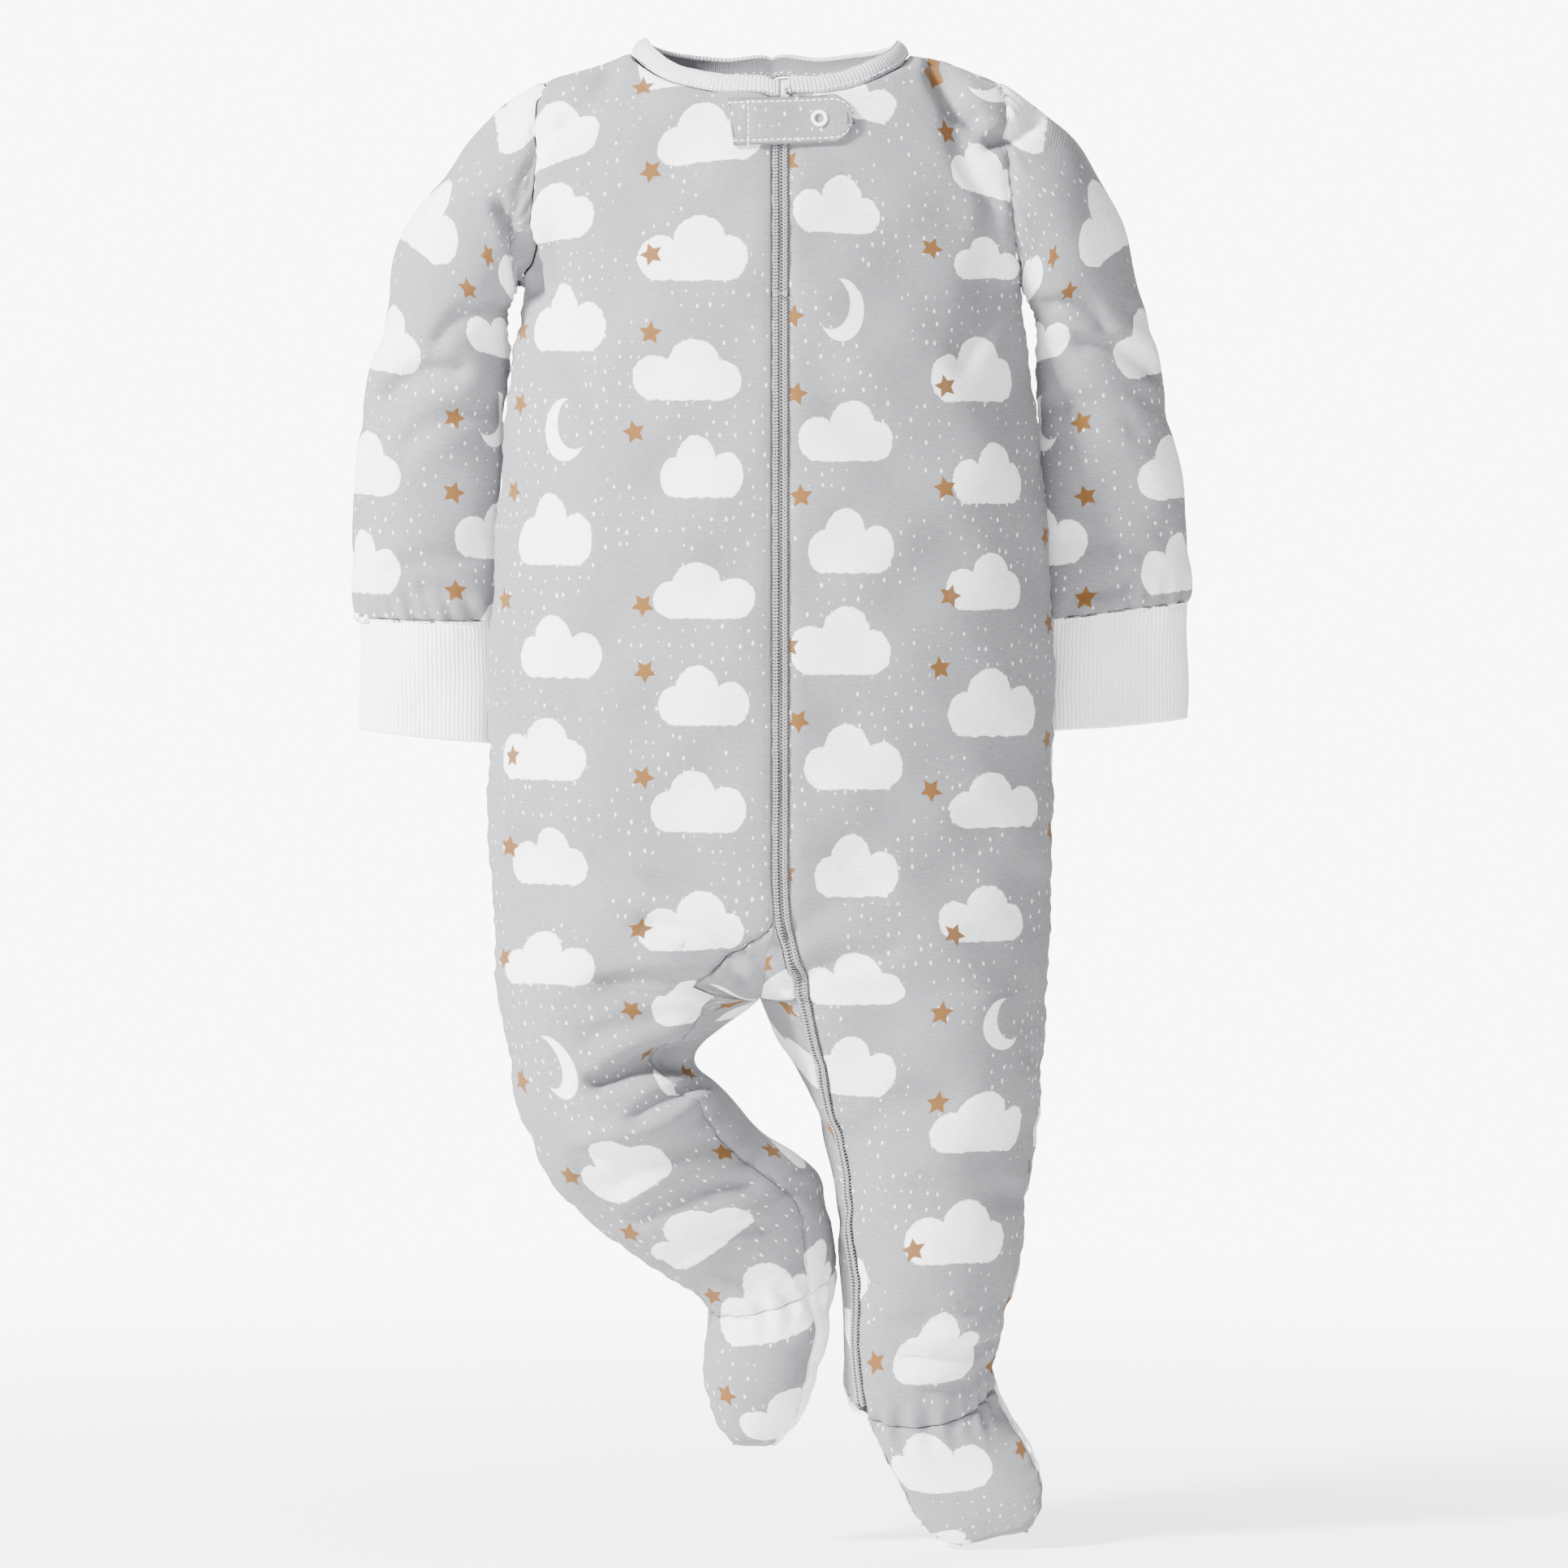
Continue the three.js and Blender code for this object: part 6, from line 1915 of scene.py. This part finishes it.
# The jersey's plain reverse; the neckband's inner face takes it too, as painted shade inside the neck
REVERSE_AND_NECK_SHADE = HeatherJersey("plain reverse of the jersey", Fibre.COTTON, GROUND)
WHITE_RIB = RibFinish("white rib", Fibre.COTTON, linear(246, 246, 249))
NECK_RIB = RibFinish("pale neck rib", Fibre.COTTON, linear(188, 188, 194))
SOLE = HeatherJersey("white sole jersey", Fibre.COTTON, linear(246, 246, 249), shadow=linear(236, 236, 241))
TAPE = WovenTape("zip tape", Fibre.POLYESTER, linear(104, 104, 107))
LOOPS = Finish("zip loops", Fibre.NYLON, linear(104, 104, 107))
CHAIN = Finish("zip sewing thread", Fibre.THREAD, linear(150, 150, 152))
SLIDER = Finish("zip slider enamel", Fibre.PLASTIC, linear(120, 120, 122))
THREAD = Finish("white sewing thread", Fibre.THREAD, linear(244, 244, 246))
SNAP = Finish("white snap plastic", Fibre.PLASTIC, linear(244, 244, 242))


@dataclass(frozen=True)
class Panel:
    """A piece of cloth: the node it stands for, its thickness, slot and finishes, and its cut in metres."""

    node: str
    slot: str
    thickness: float
    finish: Finish
    flat: Pair
    area: float
    held: str = "hung"

    @property
    def piece(self) -> str:
        """The name of the visual piece."""
        return f"{self.node}_cloth"


PRINTED_PANELS = (
    ("front_right", (0.17, 0.53), 0.0535), ("front_left", (0.17, 0.53), 0.0545),
    ("back", (0.42, 0.54), 0.125), ("sleeve_right", (0.2, 0.21), 0.0278),
    ("sleeve_left", (0.2, 0.2), 0.026), ("vamp_right", (0.06, 0.07), 0.0025),
    ("vamp_left", (0.06, 0.075), 0.0027),
)
PANELS = (
    *(Panel(node, "printed_jersey", JERSEY, PRINTED, flat, area) for node, flat, area in PRINTED_PANELS),
    Panel("sole_right", "white_jersey", JERSEY, SOLE, (0.11, 0.08), 0.0047),
    Panel("sole_left", "white_jersey", JERSEY, SOLE, (0.11, 0.085), 0.005),
    Panel("cuff_right", "white_rib", RIB, WHITE_RIB, (0.148, 0.045), 0.0064, "stretched"),
    Panel("cuff_left", "white_rib", RIB, WHITE_RIB, (0.148, 0.044), 0.0063, "stretched"),
    Panel("neckband", "neck_rib", RIB, NECK_RIB, (0.31, 0.0102), 0.0025, "stretched"),
)


def dress(piece: Object, slot: str, *finishes: Material) -> None:
    """Gives a piece its materials, and lets it ride with the garment."""
    for finish in finishes:
        piece.data.materials.append(finish)
    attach(piece, "root")


class Sleepsuit:
    """The whole garment: its cloth, zip and snap tab."""

    def __init__(self) -> None:
        """Starts with the garment's relief and no material yet."""
        self.relief = Relief()
        self.materials: dict[Finish, Material] = {}

    def material(self, finish: Finish) -> Material:
        """The material of a finish, made once."""
        if finish not in self.materials:
            self.materials[finish] = finish.material()
        return self.materials[finish]

    def build_cloth(self) -> None:
        """Builds and dresses every panel of the body, sleeves, cuffs and neckband."""
        body = Body()
        neckband = Neckband(body)
        patches = [*body.patches(LEFT), *body.patches(RIGHT), *Sleeve(LEFT, body).patches(),
                   *Sleeve(RIGHT, body).patches(), neckband.patch()]
        cloth = Cloth(patches, self.relief)
        LOG.info("cloth: %d points", len(cloth.points))
        for panel in PANELS:
            piece = cloth.cut_piece(panel.node, panel.thickness, panel.piece)
            # Printed panels show the jersey's plain reverse inside. The neckband's inner face gets that
            # grey, darker than its pale rib: painted shade inside the neck.
            inner = REVERSE_AND_NECK_SHADE if panel.finish in (PRINTED, NECK_RIB) else panel.finish
            dress(piece, panel.slot, self.material(panel.finish), self.material(inner))
            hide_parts(panel.node)
            LOG.info("%s: %d faces", panel.piece, len(piece.data.polygons))
        dress(neckband.stitches(self.relief, "neckband_stitches"), "neck_rib", self.material(THREAD))

    def build_zip(self) -> None:
        """Builds and dresses the zip."""
        zip_ = Zip(ZipPath(self.relief))
        for name, side in (("right", -1.0), ("left", 1.0)):
            tape = zip_.tape(side, f"zip_tape_{name}_cloth")
            dress(tape, "zip_tape", self.material(TAPE))
            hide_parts(f"zip_tape_{name}")
            coil = zip_.coil(side, f"zip_coil_{name}_loops")
            dress(coil, "zip_coil", self.material(LOOPS))
            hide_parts(f"zip_coil_{name}")
            dress(zip_.thread(side, f"zip_coil_{name}_thread"), "zip_coil", self.material(CHAIN))
            LOG.info("zip %s: %d loops' faces", name, len(coil.data.polygons))
        slider = zip_.slider("zip_slider_body")
        dress(slider, "zip_coil", self.material(SLIDER))
        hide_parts("zip_slider")

    def build_tab(self) -> None:
        """Builds and dresses the snap tab."""
        tab = SnapTab(self.relief)
        cloth = tab.build("chin_guard_cloth")
        dress(cloth, "printed_jersey", self.material(PRINTED), self.material(PRINTED))
        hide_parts("chin_guard")
        dress(tab.stitches("chin_guard_stitches"), "white_rib", self.material(THREAD))
        ring = tab.snap("snap_ring_plastic")
        dress(ring, "snap", self.material(SNAP))
        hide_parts("snap_ring")
        LOG.info("snap tab: %d faces", len(cloth.data.polygons))


@dataclass(frozen=True)
class Lamp:
    """A soft lamp: its name, place, width and height in metres, and power in watts."""

    name: str
    place: Triple
    size: Pair
    power: float

    def light(self, aim: Triple) -> None:
        """Hangs the lamp, turned to the aim."""
        data = bpy.data.lights.new(self.name, "AREA")
        data.shape = "RECTANGLE"
        data.size, data.size_y = self.size
        data.energy = self.power
        lamp = bpy.data.objects.new(self.name, data)
        lamp.location = self.place
        lamp.rotation_euler = turned_to(self.place, aim)
        bpy.context.scene.collection.objects.link(lamp)


def turned_to(place: Triple, aim: Triple) -> Euler:
    """The turn that points a lamp or camera from a place to an aim."""
    return (Vector(aim) - Vector(place)).to_track_quat("-Z", "Y").to_euler()


@dataclass(frozen=True)
class Studio:
    """Camera, soft lamps, and a floor that passes into the backdrop further out.

    Lengths are in metres, but for the camera's sensor, which is in millimetres.
    """

    aim: Triple = (0.0049, 0.0, -0.2773)
    distance: float = 5.0
    eye_height: float = -0.04
    frame_width: float = 0.6042
    sensor: float = 36.0
    floor_height: float = -0.5712
    floor_half: float = 9.0
    floor_roughness: float = 0.8
    sweep: Pair = (0.15, 1.5)
    backdrop: float = 9.0
    ambient: float = 0.08
    lamps: tuple[Lamp, ...] = (
        Lamp("key", (-1.9, -1.25, 1.25), (0.5, 0.5), 440.0),
        Lamp("fill", (0.15, -2.8, -0.05), (0.7, 0.7), 62.0),
        Lamp("top", (0.0, -0.2, 1.7), (1.4, 1.4), 30.0),
        Lamp("rear", (0.3, 1.8, 0.9), (1.4, 1.2), 70.0),
    )

    def set_camera(self) -> None:
        """Sets the camera in front at the neck's height, far away with a long lens."""
        data = bpy.data.cameras.new("camera")
        data.sensor_width = self.sensor
        data.lens = self.sensor * self.distance / self.frame_width
        camera = bpy.data.objects.new("camera", data)
        camera.location = (self.aim[0], self.aim[1] - self.distance, self.eye_height)
        camera.rotation_euler = turned_to(tuple(camera.location), self.aim)
        bpy.context.scene.collection.objects.link(camera)
        bpy.context.scene.camera = camera

    def lay_floor(self) -> None:
        """Lays a plain pale floor all round, which a camera sees pass into the backdrop further out."""
        half, level = self.floor_half / MM, self.floor_height / MM
        corners = np.array([(x * half, y * half, level) for x, y in ((-1, -1), (1, -1), (1, 1), (-1, 1))])
        floor = write_mesh("floor", corners, [[0, 1, 2, 3]])
        material = bpy.data.materials.new("pale floor")
        material.use_nodes = True
        nodes = Nodes(material.node_tree)
        place = nodes.term("ShaderNodeTexCoord", "Object", {})
        colour = nodes.mix(nodes.noise(place, 3.0), linear(244, 244, 244), linear(247, 247, 247))
        near = nodes.term("ShaderNodeBsdfPrincipled", 0,
                          {"Base Color": colour, "Roughness": self.floor_roughness})
        far = nodes.term("ShaderNodeEmission", 0, {"Color": WHITE, "Strength": self.backdrop})
        share = nodes.camera_sees() * nodes.fade(nodes.vector("LENGTH", place), *self.sweep)
        shader = nodes.term("ShaderNodeMixShader", 0, {0: share, 1: near, 2: far})
        nodes.add("ShaderNodeOutputMaterial", {"Surface": shader})
        floor.data.materials.append(material)

    def light(self) -> None:
        """Lights the scene softly from all sides."""
        for lamp in self.lamps:
            lamp.light(self.aim)
        world = bpy.data.worlds.new("studio")
        world.use_nodes = True
        nodes = Nodes(world.node_tree)
        strength = nodes.camera_sees() * (self.backdrop - self.ambient) + self.ambient
        sky = nodes.term("ShaderNodeBackground", 0, {"Color": WHITE, "Strength": strength})
        nodes.add("ShaderNodeOutputWorld", {"Surface": sky})
        bpy.context.scene.world = world


def main() -> None:
    """Builds the scene in order."""
    logging.basicConfig(level=logging.INFO, format="%(name)s: %(message)s")
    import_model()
    studio = Studio()
    studio.set_camera()
    sleepsuit = Sleepsuit()
    sleepsuit.build_cloth()
    sleepsuit.build_zip()
    sleepsuit.build_tab()
    studio.lay_floor()
    studio.light()
    LOG.info("all pieces stand")


if __name__ == "__main__":
    main()
